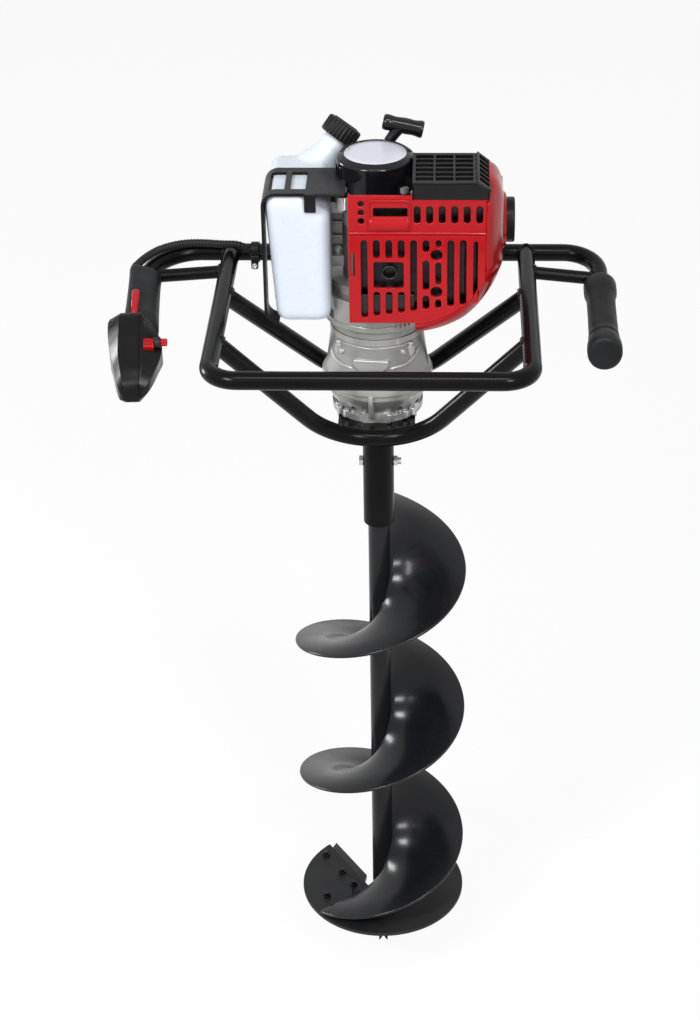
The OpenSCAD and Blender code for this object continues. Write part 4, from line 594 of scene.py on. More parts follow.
def make_fan_skirt():
    """Flared front of the fan housing under the shroud, with a ribbed pad."""
    start, end, steps = -140, -42, 60
    section = [(55, 819), (58.3, 819), (58.6, 820), (58.2, 844), (57.4, 845), (55, 845)]
    rings = [[polar(r, angle, z) for r, z in section] for angle in spread(start, end, steps)]
    parts = [skin("skirt", rings, "cast_alloy", caps=True)]
    rib = [(56, 814), (59.6, 816), (60.0, 819), (59.8, 838), (58.4, 842), (56, 842)]
    parts += [radial_rib(rib, angle, 2.0, 0.6, "cast_alloy") for angle in (-66, -61, -56, -51)]
    carry(dress(joined("fan_skirt", parts), 0.4, 2, 40))


# Shroud and air cleaner, with heights from the crankshaft

SLOT_W, SLOT_PITCH, SLOT_FIRST = 6.8, 12.8, -9.8
BELLY_X, BELLY_Z, FOOT_X = 35, 8, 43.4
LOUVRE_LEFT, LOUVRE_FOOT = 40, 59


def belly_turn(x, r):
    """Angle at which the shroud's round belly, drawn with a radius, reaches an x."""
    return -math.degrees(math.acos((x - BELLY_X) / r))


def lower_holes():
    """Outlines of the openings under the crease, as in the solid."""
    slots, high, low_first, low_rise, window = 10, 15, -74, 1.9, (0, -40, 31, -10)
    round_slot, short_slot, round_r, narrow = 6, 5, 6.1, SLOT_W - 1
    holes = []
    for i in range(slots):
        x = SLOT_FIRST + i * SLOT_PITCH
        low = low_first + low_rise * i
        if window[0] < x < window[2]:
            holes += [slot_loop(x, low, -44, SLOT_W), slot_loop(x, -6, high, SLOT_W)]
        elif i == round_slot:
            holes += [circle_loop(x - 2, z, round_r) for z in (-2, -44)]
            spans = ((-35.5, -10.5), (low, -52.5), (6.5, high))
            holes += [slot_loop(x, foot, top, narrow) for foot, top in spans]
        elif i == short_slot:
            holes += [slot_loop(x, foot, top, SLOT_W) for foot, top in ((-64, -48), (-42, -8), (1, 15))]
        else:
            holes.append(slot_loop(x, low, high, SLOT_W))
    return holes + [round_box(*window, 2.5), round_box(-23.5, -26, -20, 0, 1)]


def upper_holes():
    """Outlines of the openings over the crease."""
    first, slots, vent_x, vent_r = 45, 6, -12.5, 3.2
    holes = [slot_loop(first + i * SLOT_PITCH, 33, 52, SLOT_W) for i in range(slots)]
    holes.append(round_box(0, 40, 35, 50, 1.5))
    return holes + [circle_loop(vent_x, z, vent_r, 20) for z in (35.5, 45, 54.5)]


def make_shroud_front():
    """Pierced front of the shroud: the lower plate stands proud of the upper one along a chamfered crease."""
    left, right, r, chamfer, proud = -26, 116, 90, 2.6, FRONT - 1.7
    foot, crease, top, overlap = -80, 25, 64, 6
    edge = crease - chamfer
    belly = arc(BELLY_X, BELLY_Z, r, belly_turn(FOOT_X, r), belly_turn(right, r), 24)
    lower = [(left, edge), (left, foot), (FOOT_X, foot)] + belly + [(right, edge)]
    upper = [(left, crease - overlap), (right, crease - overlap), (right, LOUVRE_FOOT),
             (LOUVRE_LEFT, LOUVRE_FOOT), (LOUVRE_LEFT, top), (left, top)]
    wedge_foot, wedge_back = edge - 1.6, proud + chamfer
    wedge = [(proud, wedge_foot), (proud, edge), (wedge_back, crease), (wedge_back, wedge_foot)]
    # Lip behind the left edge, and the shelf under the louvred cover
    lip_front, lip_back = FRONT + 0.5, FRONT + 12
    lip = [(lip_front, -79.5), (lip_back, -76), (lip_back, 62), (lip_front, 63.5)]
    shelf = [(LOUVRE_LEFT, FRONT + 1), (118, FRONT + 1), (124, -60), (124, -8), (LOUVRE_LEFT, -8)]
    shelf_at = Matrix.Translation((0, 0, CRANK_Z + 57.6))
    parts = [plate("lower", [lower] + lower_holes(), 4.6, 0.9, "red_plastic", front_axes(FRONT + 0.6)),
             plate("upper", [upper] + upper_holes(), 2.4, 1.0, "red_plastic", front_axes(FRONT + 1.2)),
             plate("crease", [wedge], right - left - 0.6, 0.3, "red_plastic", side_axes((left + right) / 2)),
             plate("lip", [lip], 2.4, 0.8, "red_plastic", side_axes(left + 1.3)),
             plate("shelf", [shelf], 2.2, 0.7, "red_plastic", shelf_at)]
    carry(joined("shroud_front", parts), ROOT, ["engine_shroud"])


def side_rows():
    """Right end of the shroud as places, directions and shares of the upper corner, from the belly up."""
    r, side, steps, corner_from, straight_top, straight_steps = 103, 133, 20, 0.45, 36, 8
    shoulder_w, shoulder_h, shoulder_z, shoulder_turn, shoulder_steps = 15, 33, 38, 88, 10
    rows = []
    for k, turn in enumerate(spread(belly_turn(FOOT_X, r), belly_turn(side, r), steps)):
        way = polar(1, turn).to_2d()
        share = min(1, max(0, (k / steps - corner_from) / (1 - corner_from)))
        rows.append((Vector((BELLY_X, BELLY_Z)) + r * way, way, share))
    for z in spread(rows[-1][0].y, straight_top, straight_steps)[1:]:
        rows.append((Vector((side, z)), Vector((1, 0)), 1))
    for turn in spread(0, shoulder_turn, shoulder_steps)[1:]:
        way = polar(1, turn).to_2d()
        place = Vector((side - shoulder_w + shoulder_w * way.x, shoulder_z + shoulder_h * way.y))
        rows.append((place, way, 1))
    return rows


def make_shroud_side():
    """Rounded right end of the shroud, from the belly's foot up to the shoulder beside the louvred cover."""
    belly = [(13, -85.6), (11.6, -85.3), (7, -82.2), (2.4, -78), (0.6, -75.4), (0, -73)]
    corner = [(17, -85.6), (14.6, -84.6), (9, -76), (3.4, -64), (0.9, -56), (0, -50)]
    flat_from, low_back, high_back, notch_z = -50, 32, -15, 40
    rows = []
    for place, way, share in side_rows():
        profile = [Vector(a).lerp(Vector(b), share) for a, b in zip(belly, corner)]
        back = low_back if place.y < notch_z else high_back
        profile += [(0, y) for y in spread(flat_from, back, 4)[1:]]
        rows.append([(place.x - inset * way.x, y, CRANK_Z + place.y - inset * way.y) for inset, y in profile])
    shell = skin("shroud_side", rows, "red_plastic", wrap=False)
    modify(shell, "wall", "SOLIDIFY", thickness=2.4 * MM, offset=0)
    round_edges(shell, 0.5, 2, 50)
    carry(shell)
    boss = [(32, 131), (31, 133.6), (29, 136.6), (27, 138), (25.6, 138.2), (24.7, 137.6), (24.5, 134.9),
            (18.5, 134.9), (18.5, 131)]
    at = facing((0, 0, CRANK_Z), RIGHT, UP)
    carry(dress(lathe("shroud_boss", boss, "red_plastic", at, 72, closed=True), 0.4))


def make_shield_and_shade():
    """Dark pressed sheet round the muffler behind the shroud's openings. It is partly a guard and partly
    painted shade for the shroud's dark inside. A lower sheet is painted shade at the foot of the left
    openings.
    """
    left, right, low, high, r = -22, 122, -72, 57, 94
    sheet_y, rib_y, low_shade_y = -70, -71.5, -79.5
    low_turn = math.degrees(math.asin((low - BELLY_Z) / r))
    belly = arc(BELLY_X, BELLY_Z, r, low_turn, belly_turn(right, r), 16)
    sheet = [(left, high), (left, low)] + belly + [(right, high)]
    # Lower sheet: painted shade that keeps the foot of the left openings dark.
    low_shade = round_box(left, -78, 42, -50, 2)
    parts = [plate("sheet", [sheet], 2, 0.6, "dark_steel", front_axes(sheet_y)),
             plate("low_shade", [low_shade], 1.6, 0.5, "dark_steel", front_axes(low_shade_y))]
    for x in (92, 104):
        rib = round_box(x - 3, -52, x + 3, 8, 2.5)
        parts.append(plate("rib", [rib], 3, 1.0, "dark_steel", front_axes(rib_y)))
    carry(joined("shield_and_shade", parts))


def make_scoop():
    """Bulged lip under the slot of the shroud's upper left panel, and the panel's rim."""
    section = [(25.5, 0), (26.5, 2.4), (29, 4.3), (32, 4.6), (36, 3.0), (39.5, 1.0), (40.6, -0.8)]
    stations = [(-5.2, 0.0), (-4.6, 0.55), (-3.4, 0.92), (-1.5, 1.0), (34, 1.0), (35.9, 0.92), (37.1, 0.55),
                (37.7, 0.0)]
    sunk = FRONT + 0.4
    rows = [[(x, sunk - out * share, CRANK_Z + z) for z, out in section] for x, share in stations]
    lip = skin("scoop_lip", rows, "red_plastic", wrap=False)
    loops = [round_box(-6.2, 25, 38.7, 59.4, 3), round_box(-3.6, 39.6, 36.1, 56.8, 2)]
    rim = plate("scoop_rim", loops, 2.4, 0.9, "red_plastic", front_axes(FRONT - 0.6))
    carry(joined("shroud_scoop", [lip, rim]))


def make_louvre():
    """Louvred cover: a grid on top, a slanted end with fins and a plain front."""
    low, high, back, left, right, bend, drop = 59.1, 78.1, -6, LOUVRE_LEFT, 119, 105.5, 67.5
    rows, columns, wall, edge, bar_edge = 6, 3, 2.4, 0.8, 0.7
    pitch_y = (back - FRONT - 9) / rows
    pitch_x = (bend - left - 4.5) / columns

    def panel(name, loops, bevel, at, thickness=wall):
        return plate(name, loops, thickness, bevel, "black_plastic", at)

    def side_wall(top, x):
        outline = [(FRONT, low), (back, low), (back, top), (FRONT, top)]
        return panel("wall", [outline], edge, side_axes(x))

    end = [(left, low), (right, low), (right, drop), (bend, high), (left, high)]
    parts = [panel("wall", [end], edge, front_axes(y)) for y in (FRONT + wall / 2, back - wall / 2)]
    parts += [side_wall(high, left + wall / 2), side_wall(drop, right - wall / 2)]
    spans_y = [(FRONT + 6.5 + j * pitch_y, FRONT + 3.4 + (j + 1) * pitch_y) for j in range(rows)]
    spans_x = [(left + 3.2 + i * pitch_x, left + 0.9 + (i + 1) * pitch_x) for i in range(columns)]
    holes = [round_box(x0, y0, x1, y1, 0.8, 2) for x0, x1 in spans_x for y0, y1 in spans_y]
    top = [(left, FRONT), (bend, FRONT), (bend, back), (left, back)]
    at = Matrix.Translation((0, 0, CRANK_Z + high - wall / 2))
    parts.append(panel("grid", [top] + holes, bar_edge, at))
    # Slanted end: bars across and fins that stand on it
    slope = Vector((right - bend, 0, drop - high))
    length = slope.length
    slope.normalize()
    inwards = slope.cross(BACK)
    at = axes(slope, BACK, inwards, Vector((bend, 0, CRANK_Z + high)) + wall / 2 * inwards)
    gaps = [round_box(2.6, y0, length - 2.2, y1, 0.8, 2) for y0, y1 in spans_y]
    ends = [(0, FRONT), (length, FRONT), (length, back), (0, back)]
    parts.append(panel("slant", [ends] + gaps, bar_edge, at))
    fin = [(bend - 2, high - 4), (right - 2, drop - 3), (right + 0.6, drop + 1.2), (bend + 0.5, high + 1.0),
           (bend - 2, high)]
    bars_y = [FRONT + 5 + j * pitch_y for j in range(rows + 1)]
    parts += [panel("fin", [fin], 0.5, front_axes(y), thickness=2.0) for y in bars_y]
    # Deep slats under the grid
    slat = [(left + 2, high - 9), (bend, high - 9), (bend, high - 1), (left + 2, high - 1)]
    parts += [panel("slat", [slat], 0.3, front_axes(y), thickness=1.6) for y in bars_y[1:-1]]
    carry(joined("louvre_grid", parts), ROOT, ["louvre_cover"])


def make_end_cover():
    """Round dished cover on the shroud's right end, and its screw."""
    cover = [(0, 5.6), (5, 5.6), (6, 6.8), (9, 7.6), (17, 8.2), (19.5, 11.0), (22.6, 12.0), (23.8, 11.1),
             (24, 9.0), (24, 0.2), (18, 0), (18, -3), (0, -3)]
    screw = [(0, 7.4), (2, 7.4), (2.3, 8.7), (3.6, 8.7), (4.2, 7.9), (4.2, 5), (0, 5)]
    at = facing((135.1, 0, CRANK_Z), RIGHT, UP)
    carry(dress(lathe("end_cap", cover, "black_plastic", at, 72), 0.4), ROOT, ["end_cover"])
    carry(lathe("end_cap_screw", screw, "steel", at, 24))


def make_air_cleaner():
    """Air cleaner in two rounded halves with a joint lip, a vented cover and two clips."""
    left, right, half, front, joint, back = 46, 102, 30, 75.6, 86.4, 103.6
    middle, corner_r, vents, vent_pitch, vent_half = (left + right) / 2, 8, 5, 9, 20

    def layer(name, inset, y0, y1, bevel, holes=()):
        outline = round_box(inset - right, inset - half, -left - inset, half - inset, corner_r)
        at = axes(-RIGHT, UP, BACK, (0, (y0 + y1) / 2, CRANK_Z))
        return plate(name, [outline, *holes], y1 - y0, bevel, "black_plastic", at)

    slots = [slot_loop(vent_pitch * (i - vents // 2) - middle, -vent_half, vent_half, 4)
             for i in range(vents)]
    parts = [layer("base", 0.6, front, joint, 2), layer("lip", 0, joint - 1.2, joint + 1.2, 0.9),
             layer("cover", 0.8, joint + 9, back, 3.4, slots), layer("wall", 0.8, joint, joint + 11, 0.6)]
    clip, reach = round_box(front + 5, -6, joint + 8, 6, 2), half + 0.6
    for z in (CRANK_Z - reach, CRANK_Z + reach):
        parts.append(plate("clip", [clip], 1.8, 0.6, "black_plastic", axes(BACK, RIGHT, -UP, (middle, 0, z))))
    carry(joined("cleaner_case", parts), ROOT, ["air_cleaner"])


# Recoil starter

PULL = Vector((0.6, 0.22, 0.77)).normalized()
ROPE_EXIT = Vector((5, 41, 979))


def make_recoil():
    """Shiny cup with a bevelled ring, screw lugs, ribs and a rope guide."""
    cup = [(33.2, 993.4), (33.3, 995.0), (34.0, 995.6), (35.2, 995.3), (39.9, 992.4), (41.0, 991.2),
           (41.3, 989.6), (41.3, 966), (41.5, 964), (41.8, 959), (41.2, 958.2), (36, 958.2), (36, 988),
           (33.2, 990)]
    lug = [(2.7, 0.1), (6.6, 0.1), (7, 0.6), (7, 4.2), (6.5, 4.9), (2.7, 4.9)]
    rib = [(39, 959), (42.7, 959), (42.5, 984), (41.7, 987), (39, 987)]
    guide = [(2.6, -9), (6.2, -9), (6.0, 3), (6.2, 9), (7.0, 10.4), (6.8, 11.3), (5.2, 11.6), (3.3, 10.8),
             (2.6, 8)]
    badge = [(0, 993.3), (33.1, 993.3), (33.1, 994.2), (32.6, 994.6), (26, 995.0), (14, 995.3), (0, 995.4)]
    lug_angles, lug_r, lug_z, head_r, head_z = (-140, -45, 48, 122), 43.5, 958, 44.5, 962.9
    rib_angles = (-166, -158, -150, -30, -22, 20, 90, 160, 172)
    shiny = "shiny_black_plastic"
    parts = [lathe("cup", cup, shiny, Matrix(), 128, closed=True)]
    for angle in lug_angles:
        at = Matrix.Translation(polar(lug_r, angle, lug_z))
        parts.append(lathe("lug", lug, shiny, at, 32, closed=True))
    parts += [radial_rib(rib, angle, 2.4, 0.7, shiny) for angle in rib_angles]
    parts.append(lathe("guide", guide, shiny, facing(ROPE_EXIT, PULL), 40, closed=True))
    carry(dress(joined("recoil_cup", parts), 0.3, 2, 40), ROOT, ["recoil_housing"])
    make_screw_ring("recoil_screws", lug_angles, head_r, head_z, 7.2, 4.4)
    carry(lathe("badge_disc", badge, "badge_plastic", Matrix(), 96), ROOT, ["recoil_badge"])


def make_pull_grip():
    """T grip with flared ends on a tapered stem."""
    bar = [(0, -20.4), (3.6, -20.4), (4.4, -21.8), (6.4, -22), (8.2, -20.8), (8.8, -18), (8.5, -14.5),
           (7.9, -10), (8.1, -5), (8.7, 0), (8.7, 5), (8.2, 10), (8.5, 14.5), (9.2, 17.5), (9.4, 19.6),
           (8.8, 21.4), (7.0, 22), (4.8, 21.8), (4.0, 20.4), (0, 20.4)]
    stem = [(0, 0), (4.6, 0), (5.5, 0.8), (5.8, 4), (6.0, 9), (6.4, 14), (7.2, 18), (7.8, 22), (0, 24)]
    bar_at = facing(ROPE_EXIT + 34 * PULL + 3 * RIGHT, (0.975, -0.05, -0.2), UP)
    stem_at = facing(ROPE_EXIT + 12 * PULL, PULL)
    parts = [lathe("bar", bar, "shiny_black_plastic", bar_at, 64),
             lathe("stem", stem, "shiny_black_plastic", stem_at, 48)]
    carry(dress(joined("pull_handle", parts), 0.3, 2, 45), "pull_grip", ["starter_grip"])


def make_rope():
    """Laid rope from the pulley to the grip, fixed in the shared frame."""
    start, length, steps, sides = -17.0, 28.9, 240, 18
    mean_r, swell, strands, lay = 1.55, 0.17, 3, 0.75
    at = facing(ROPE_EXIT, PULL)
    turns = [math.tau * k / sides for k in range(sides)]
    rings = []
    for z in spread(start, start + length, steps):
        ring = [(mean_r + swell * math.cos(strands * (turn - z * lay)), turn) for turn in turns]
        rings.append([at @ Vector((r * math.cos(turn), r * math.sin(turn), z)) for r, turn in ring])
    rope = skin("laid_rope", rings, "rope", caps=True)
    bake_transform(rope)
    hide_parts("starter_rope")


# Fuel tank

CAP_AXIS = Vector((0.57, 0.28, 0.77)).normalized()
CAP_CENTRE = Vector((-38, 62, 994))


def make_tank():
    """Blow moulded tank: the hull of balls at its corners and a flared neck foot, under one voxel skin."""
    left, right, front, low, top = -114, -47, -60, 825, 971
    r, taper, chamfer, shoulder, low_back, high_back = 12, 9, 18, 45, 20, 58
    swell, rings, sides = 0.4, 8, 16
    centres = [(left + r + taper, front + r, low + r), (right - r, front + r, low + r),
               (left + r + taper, low_back - r, low + r), (right - r - taper, low_back - r, low + r)]
    centres += [(x, front + r, z) for x, z in
                ((left + r, top - r), (right - r - chamfer, top - r), (right - r, top - r - chamfer))]
    centres += [(x, high_back - r, z) for x in (left + r, right - r) for z in (top - r - shoulder, top - r)]
    work = bmesh.new()
    for centre in centres:
        for ring_r, height in arc(0, 0, r + swell, -90, 90, rings)[1:-1]:
            for x, y in circle_loop(0, 0, ring_r, sides):
                work.verts.new((Vector(centre) + Vector((x, y, height))) * MM)
    bmesh.ops.convex_hull(work, input=work.verts)
    loose = [vertex for vertex in work.verts if not vertex.link_faces]
    bmesh.ops.delete(work, geom=loose, context="VERTS")
    hull = settle("tank_hull", work, MATERIALS["tank_plastic"])
    mouth = facing(CAP_CENTRE - 6.4 * CAP_AXIS, CAP_AXIS)
    flare = [(0, -52), (20, -50), (23, -40), (20, -32), (16.5, -25), (14.4, -18), (13.4, -12), (0, -12)]
    tank = joined("tank_body", [hull, lathe("tank_shoulder", flare, "tank_plastic", mouth, 48)])
    modify(tank, "skin", "REMESH", mode="VOXEL", voxel_size=1.8 * MM, use_smooth_shade=True)
    modify(tank, "soft", "SMOOTH", factor=0.5, iterations=16)
    carry(tank, ROOT, ["fuel_tank"])
    neck = [(13.3, -16), (13.3, -3), (12.9, -2.6), (13.0, -0.4), (12.6, 0), (10.7, 0), (10.4, -0.6),
            (10.4, -26), (0, -27)]
    carry(lathe("tank_neck", neck, "tank_plastic", mouth, 64))


def make_tank_web():
    """Cast web between the arms that carry the tank, with two bolt eyes and cross ribs."""
    left, right, low, high, y, half, rib_half = -47.4, -33, -53, 43, 4, 3, 1.6
    eye_x, eye_r, eyes_z = -40.5, 2.6, (-35, 29)
    ring = [(eye_r, -1), (eye_r, 3.4), (3.0, 4), (4.8, 4), (5.4, 3.4), (5.6, -1)]
    loops = [round_box(left, low, right, high, 2)] + [circle_loop(eye_x, z, eye_r) for z in eyes_z]
    parts = [plate("web", loops, 2 * half, 1.2, "cast_alloy", front_axes(y))]
    for z in eyes_z:
        at = facing((eye_x, y - half, CRANK_Z + z), -BACK)
        parts.append(lathe("eye", ring, "cast_alloy", at, 32, closed=True))
    for z in (-19, -3, 13):
        rib = round_box(left, z - rib_half, right, z + rib_half, 1)
        parts.append(plate("rib", [rib], 5, 1.0, "cast_alloy", front_axes(y - 4)))
    carry(dress(joined("tank_web", parts), 0.3, 1, 45))


def make_cap():
    """Filler cap with a fluted rim and a bar across its top."""
    flutes, steps_per_flute, depth, fluted = 26, 8, 0.85, range(4, 9)

    def wave(i, angle):
        return -depth * (0.5 + 0.5 * math.cos(flutes * angle)) ** 2 if i in fluted else 0

    profile = [(0, 6.3), (13.4, 6.3), (13.4, -9.5), (17.8, -9.5), (19.4, -9.0), (20.0, -7.6), (20.1, 0),
               (20.0, 6.8), (19.4, 8.2), (18.2, 9.0), (16.2, 9.4), (15.0, 9.2), (14.4, 8.5), (5.5, 8.2),
               (4.8, 9.2), (0, 9.4)]
    at = facing(CAP_CENTRE, CAP_AXIS)
    cap = lathe("cap_body", profile, "black_plastic", at, flutes * steps_per_flute, wave)
    bar = plate("bar", [round_box(-13.8, -2.0, 13.8, 2.0, 1.2, 3)], 2.6, 0.7, "black_plastic",
                facing(CAP_CENTRE + 9 * CAP_AXIS, CAP_AXIS))
    carry(joined("filler_cap_knurled", [cap, bar]), "filler_cap", ["fuel_cap"])


# Handles

BAR_Y, BAR_Z, TUBE_R = 63, 851, 9.5
RIGHT_ENDS = (Vector((240, BAR_Y, BAR_Z)), Vector((240, -120, 824)))
LEFT_ENDS = (Vector((-254, BAR_Y, BAR_Z)), Vector((-243, -131, 826.5)))


def on_handle(corner, end):
    """Local X to the right, Y up and Z along a handle from its corner."""
    z = (end - corner).normalized()
    x = UP.cross(z).normalized()
    return axes(x, z.cross(x), z, corner)


RIGHT_HANDLE = on_handle(*RIGHT_ENDS)
LEFT_HANDLE = on_handle(*LEFT_ENDS)
CABLE_X, CABLE_Y = -11, 15.6


def make_right_grip():
    """Rubber grip with a soft collar, a ring and an oval closed end."""
    oval_from, oval_run, oval_out, full_r = 165, 20, 2.2, 14
    profile = [(9.7, 63), (15.6, 63), (17.0, 63.8), (17.6, 66), (17.7, 76), (17.4, 82), (16.4, 86),
               (15.6, 91), (15.3, 100), (15.4, 130), (15.7, 152), (15.8, 160), (16.4, 161), (16.5, 162.6),
               (16.0, 163.6), (16.2, 166), (17.4, 171), (18.2, 176), (18.5, 182), (18.3, 187.5), (17.6, 190),
               (16.2, 191.2), (14, 191.8), (7, 192.1), (0, 192.2)]

    def oval(i, angle):
        r, reach = profile[i]
        share = min(1, max(0, (reach - oval_from) / oval_run))
        return oval_out * share * math.sin(angle) ** 2 * min(1, r / full_r)

    carry(lathe("rubber_grip", profile, "rubber", RIGHT_HANDLE, 72, oval), ROOT, ["right_grip"])


def make_left_grip():
    """Rubber boot over the left handle with a ridge along the throttle cable."""
    ridge_out, ridge_w, cable_angle = 6.4, 0.40, math.atan2(CABLE_Y, CABLE_X)
    profile = [(9.7, 56), (15.4, 56), (16.8, 57), (17.3, 60), (16.9, 66), (16.8, 80), (17.0, 100),
               (17.4, 125), (18.0, 142), (18.4, 156), (17.6, 158), (9.7, 158)]

    def ridge(i, angle):
        if i in (0, len(profile) - 1):
            return 0
        gap = (angle - cable_angle + math.pi) % math.tau - math.pi
        return ridge_out * math.exp(-(gap / ridge_w) ** 2)

    carry(lathe("rubber_boot", profile, "rubber", LEFT_HANDLE, 96, ridge), ROOT, ["left_grip"])


# Stations of the throttle housing along the handle: reach, then eight corners clockwise from the left
THROTTLE_STATIONS = [
    (156, (-32.5, 15), (-20, 23), (1, 24), (8, 12), (10, -30), (2, -37), (-24, -37), (-31, -30)),
    (164, (-34, 13), (-21, 24), (3, 24.5), (13, 12), (17, -29), (6, -39), (-25, -39), (-33, -31)),
    (178, (-33.5, 6), (-21.5, 19), (5, 20), (20, 8), (21.5, -25), (9, -40), (-25, -40), (-33, -32)),
    (190, (-31.5, -2), (-22, 12), (7, 14), (23.5, 4.5), (23, -20), (10, -40), (-24, -40), (-30.5, -33)),
    (205, (-28, -11), (-22, 2.5), (5, 6), (22, -1), (18.5, -22), (7, -40), (-22, -40), (-27.5, -34)),
    (220, (-25, -17), (-19.5, -5), (3, -3), (16, -8), (13, -26), (3, -39.5), (-19.5, -39.5), (-24.5, -35)),
    (231, (-21.5, -23), (-17, -14), (0, -12), (9, -16), (7, -29), (0, -38), (-16, -38), (-21, -35)),
    (236, (-17, -26), (-14, -20), (-2.5, -19), (3, -22), (2, -30), (-3, -34.5), (-13, -34.5), (-16.5, -32)),
]


def throttle_corners():
    """Corner lines of the throttle housing along the handle."""
    lines = zip(*[[(x, y, reach) for x, y in corners] for reach, *corners in THROTTLE_STATIONS])
    return [smooth_path(line, count=4) for line in lines]


def make_throttle_case():
    """Moulded throttle housing in two halves that meet along the handle, and the eyelet of its cable."""
    half_gap, across = 0.15, LEFT_HANDLE.to_3x3() @ RIGHT
    rings = [[LEFT_HANDLE @ corner for corner in ring] for ring in zip(*throttle_corners())]
    whole = skin("throttle_form", rings, "black_plastic", caps=True)
    for side, half in ((1, "outer"), (-1, "inner")):
        work = bmesh.new()
        work.from_mesh(whole.data)
        cut = bmesh.ops.bisect_plane(work, geom=work.verts[:] + work.edges[:] + work.faces[:], dist=1e-7,
                                     plane_co=(LEFT_HANDLE.translation - half_gap * side * across) * MM,
                                     plane_no=across * side, clear_outer=True)
        bmesh.ops.holes_fill(work, edges=[e for e in cut["geom_cut"] if isinstance(e, bmesh.types.BMEdge)])
        bmesh.ops.recalc_face_normals(work, faces=work.faces)
        shell = settle("throttle_half_" + half, work, MATERIALS["satin_black_plastic"])
        carry(dress(shell, 1.3, 3, 20), ROOT, ["throttle_case_" + half])
    bpy.data.objects.remove(whole)
    eyelet = [(0, 0.2), (2.4, 0.2), (2.6, 1.0), (3.6, 1.2), (4.2, 0.4), (4.2, -2), (0, -2)]
    at = LEFT_HANDLE @ facing((-30.2, 15.8, 164), (-0.55, 0.83, 0), UP)
    carry(lathe("throttle_eyelet", eyelet, "rubber", at, 24))


def on_housing(place, tilt, axis):
    """Matrix at a place along the left handle, tilted about a local axis."""
    return LEFT_HANDLE @ Matrix.Translation(place) @ Matrix.Rotation(math.radians(tilt), 4, axis)


def make_controls():
    """Lock lever, ribbed stop switch and ribbed button of the throttle housing."""
    flat = axes(RIGHT, -UP, BACK)
    root_half, root, reach, tip_r = 3.2, 9, 46, 4.2
    lever = [(root_half, root)] + arc(0, reach, tip_r, 0, 180, 12) + [(-root_half, root)]
    at = on_housing((-6, 21.6, 166), 4, "X") @ flat
    carry(plate("lock_paddle", [lever], 5.4, 2.2, "red_plastic", at), "lock", ["lock_lever"])
    ribs, rib_pitch, rib_z = 4, 2.6, 4.2
    at = on_housing((10.5, 10.2, 197.5), 22, "X") @ flat
    slider = [plate("slider", [round_box(-5.4, -5.4, 5.4, 5.4, 1.2)], 8, 0.8, "red_plastic", at)]
    for k in range(ribs):
        rib = round_box(-4.8, -4.6 + rib_pitch * k, 4.8, -3.2 + rib_pitch * k, 0.6, 2)
        slider.append(plate("rib", [rib], 2, 0.5, "red_plastic", at @ Matrix.Translation((0, 0, rib_z))))
    carry(joined("ribbed_slider", slider), "switch", ["stop_switch"])
    flutes, swell, fluted = 10, 0.3, range(2, 6)
    knob = [(0, 3.2), (3.6, 3.2), (3.9, 3.7), (4.0, 5), (4.0, 8.4), (3.7, 9.8), (2.9, 10.4), (0, 10.6)]
    collar = [(4.8, -4), (5.9, -4), (5.9, 2.6), (5.4, 3.4), (4.8, 3.4)]
    at = on_housing((19.2, 11.2, 195), 90, "Y")
    body = lathe("ribbed_knob", knob, "red_plastic", at, 80,
                 lambda i, angle: swell * math.cos(flutes * angle) if i in fluted else 0)
    carry(body, "button", ["throttle_button"])
    carry(lathe("knob_collar", collar, "black_plastic", at, 32, closed=True))


def make_cable():
    """Throttle cable from its housing to the carburettor, with a ribbed loom, a conduit and a clip."""
    conduit_x, conduit_y, conduit_z, conduit_l = -140, 49, BAR_Z + 9.5, 76
    on_grip = [LEFT_HANDLE @ Vector((CABLE_X, CABLE_Y, reach)) for reach in (158, 126, 92, 60)]
    bend = [(-259, 11, 9), (-251, 26, 11), (-238.5, 40.5, 13), (-221.5, 50.5, 14.2), (-205, 54, 14.8),
            (-188, 53, 15.2), (-172, 50, 15.5), (-154, 49, 15.2), (-143, 49, 10.5)]
    bend = [Vector((x, y, BAR_Z + z)) for x, y, z in bend]
    straight = [Vector((conduit_x + 26 * i, conduit_y, conduit_z)) for i in range(4)]
    rise = [(-40, 51, 4), (-20, 56, 12), (4, 59, 28), (20, 57, 48), (32, 52, 66), (40, 49, 76)]
    rise = [Vector((x, y, conduit_z + z)) for x, y, z in rise]
    cable = sweep("cable_sleeve", smooth_path(on_grip + bend + straight + rise, 3), 3.5, "rubber", 16)
    carry(cable, ROOT, ["throttle_cable"])
    loom_r, loom_swell, loom_steps = 4.1, 0.35, 5
    loom = smooth_path(on_grip[2:] + bend, 0.7)
    carry(sweep("cable_loom", loom, lambda i: loom_r + loom_swell * math.cos(math.tau * i / loom_steps),
                "rubber", 20))
    ribs, rib_steps, rib_r, rib_swell, bore_r = 19, 8, 5.7, 0.75, 4.0
    wall = [(rib_r + rib_swell * math.cos(math.tau * i / rib_steps), z)
            for i, z in enumerate(spread(0, conduit_l, ribs * rib_steps))]
    conduit = [(bore_r, 0)] + wall + [(bore_r, conduit_l)]
    at = facing((conduit_x, conduit_y, conduit_z), RIGHT, UP)
    carry(lathe("ribbed_conduit", conduit, "rubber", at, 40, closed=True), ROOT, ["cable_conduit"])
    # Ear and screw of the clip on the crossbar
    clip_x = -134.5
    ear = round_box(-4, -7, 4, 7, 2.5)
    carry(plate("ear", [ear], 3.2, 0.8, "black_plastic", front_axes(40.5, clip_x, 848)))
    carry(screw_head(front_axes(39, clip_x, 846), 6, 2.6))


# Welds of the frame

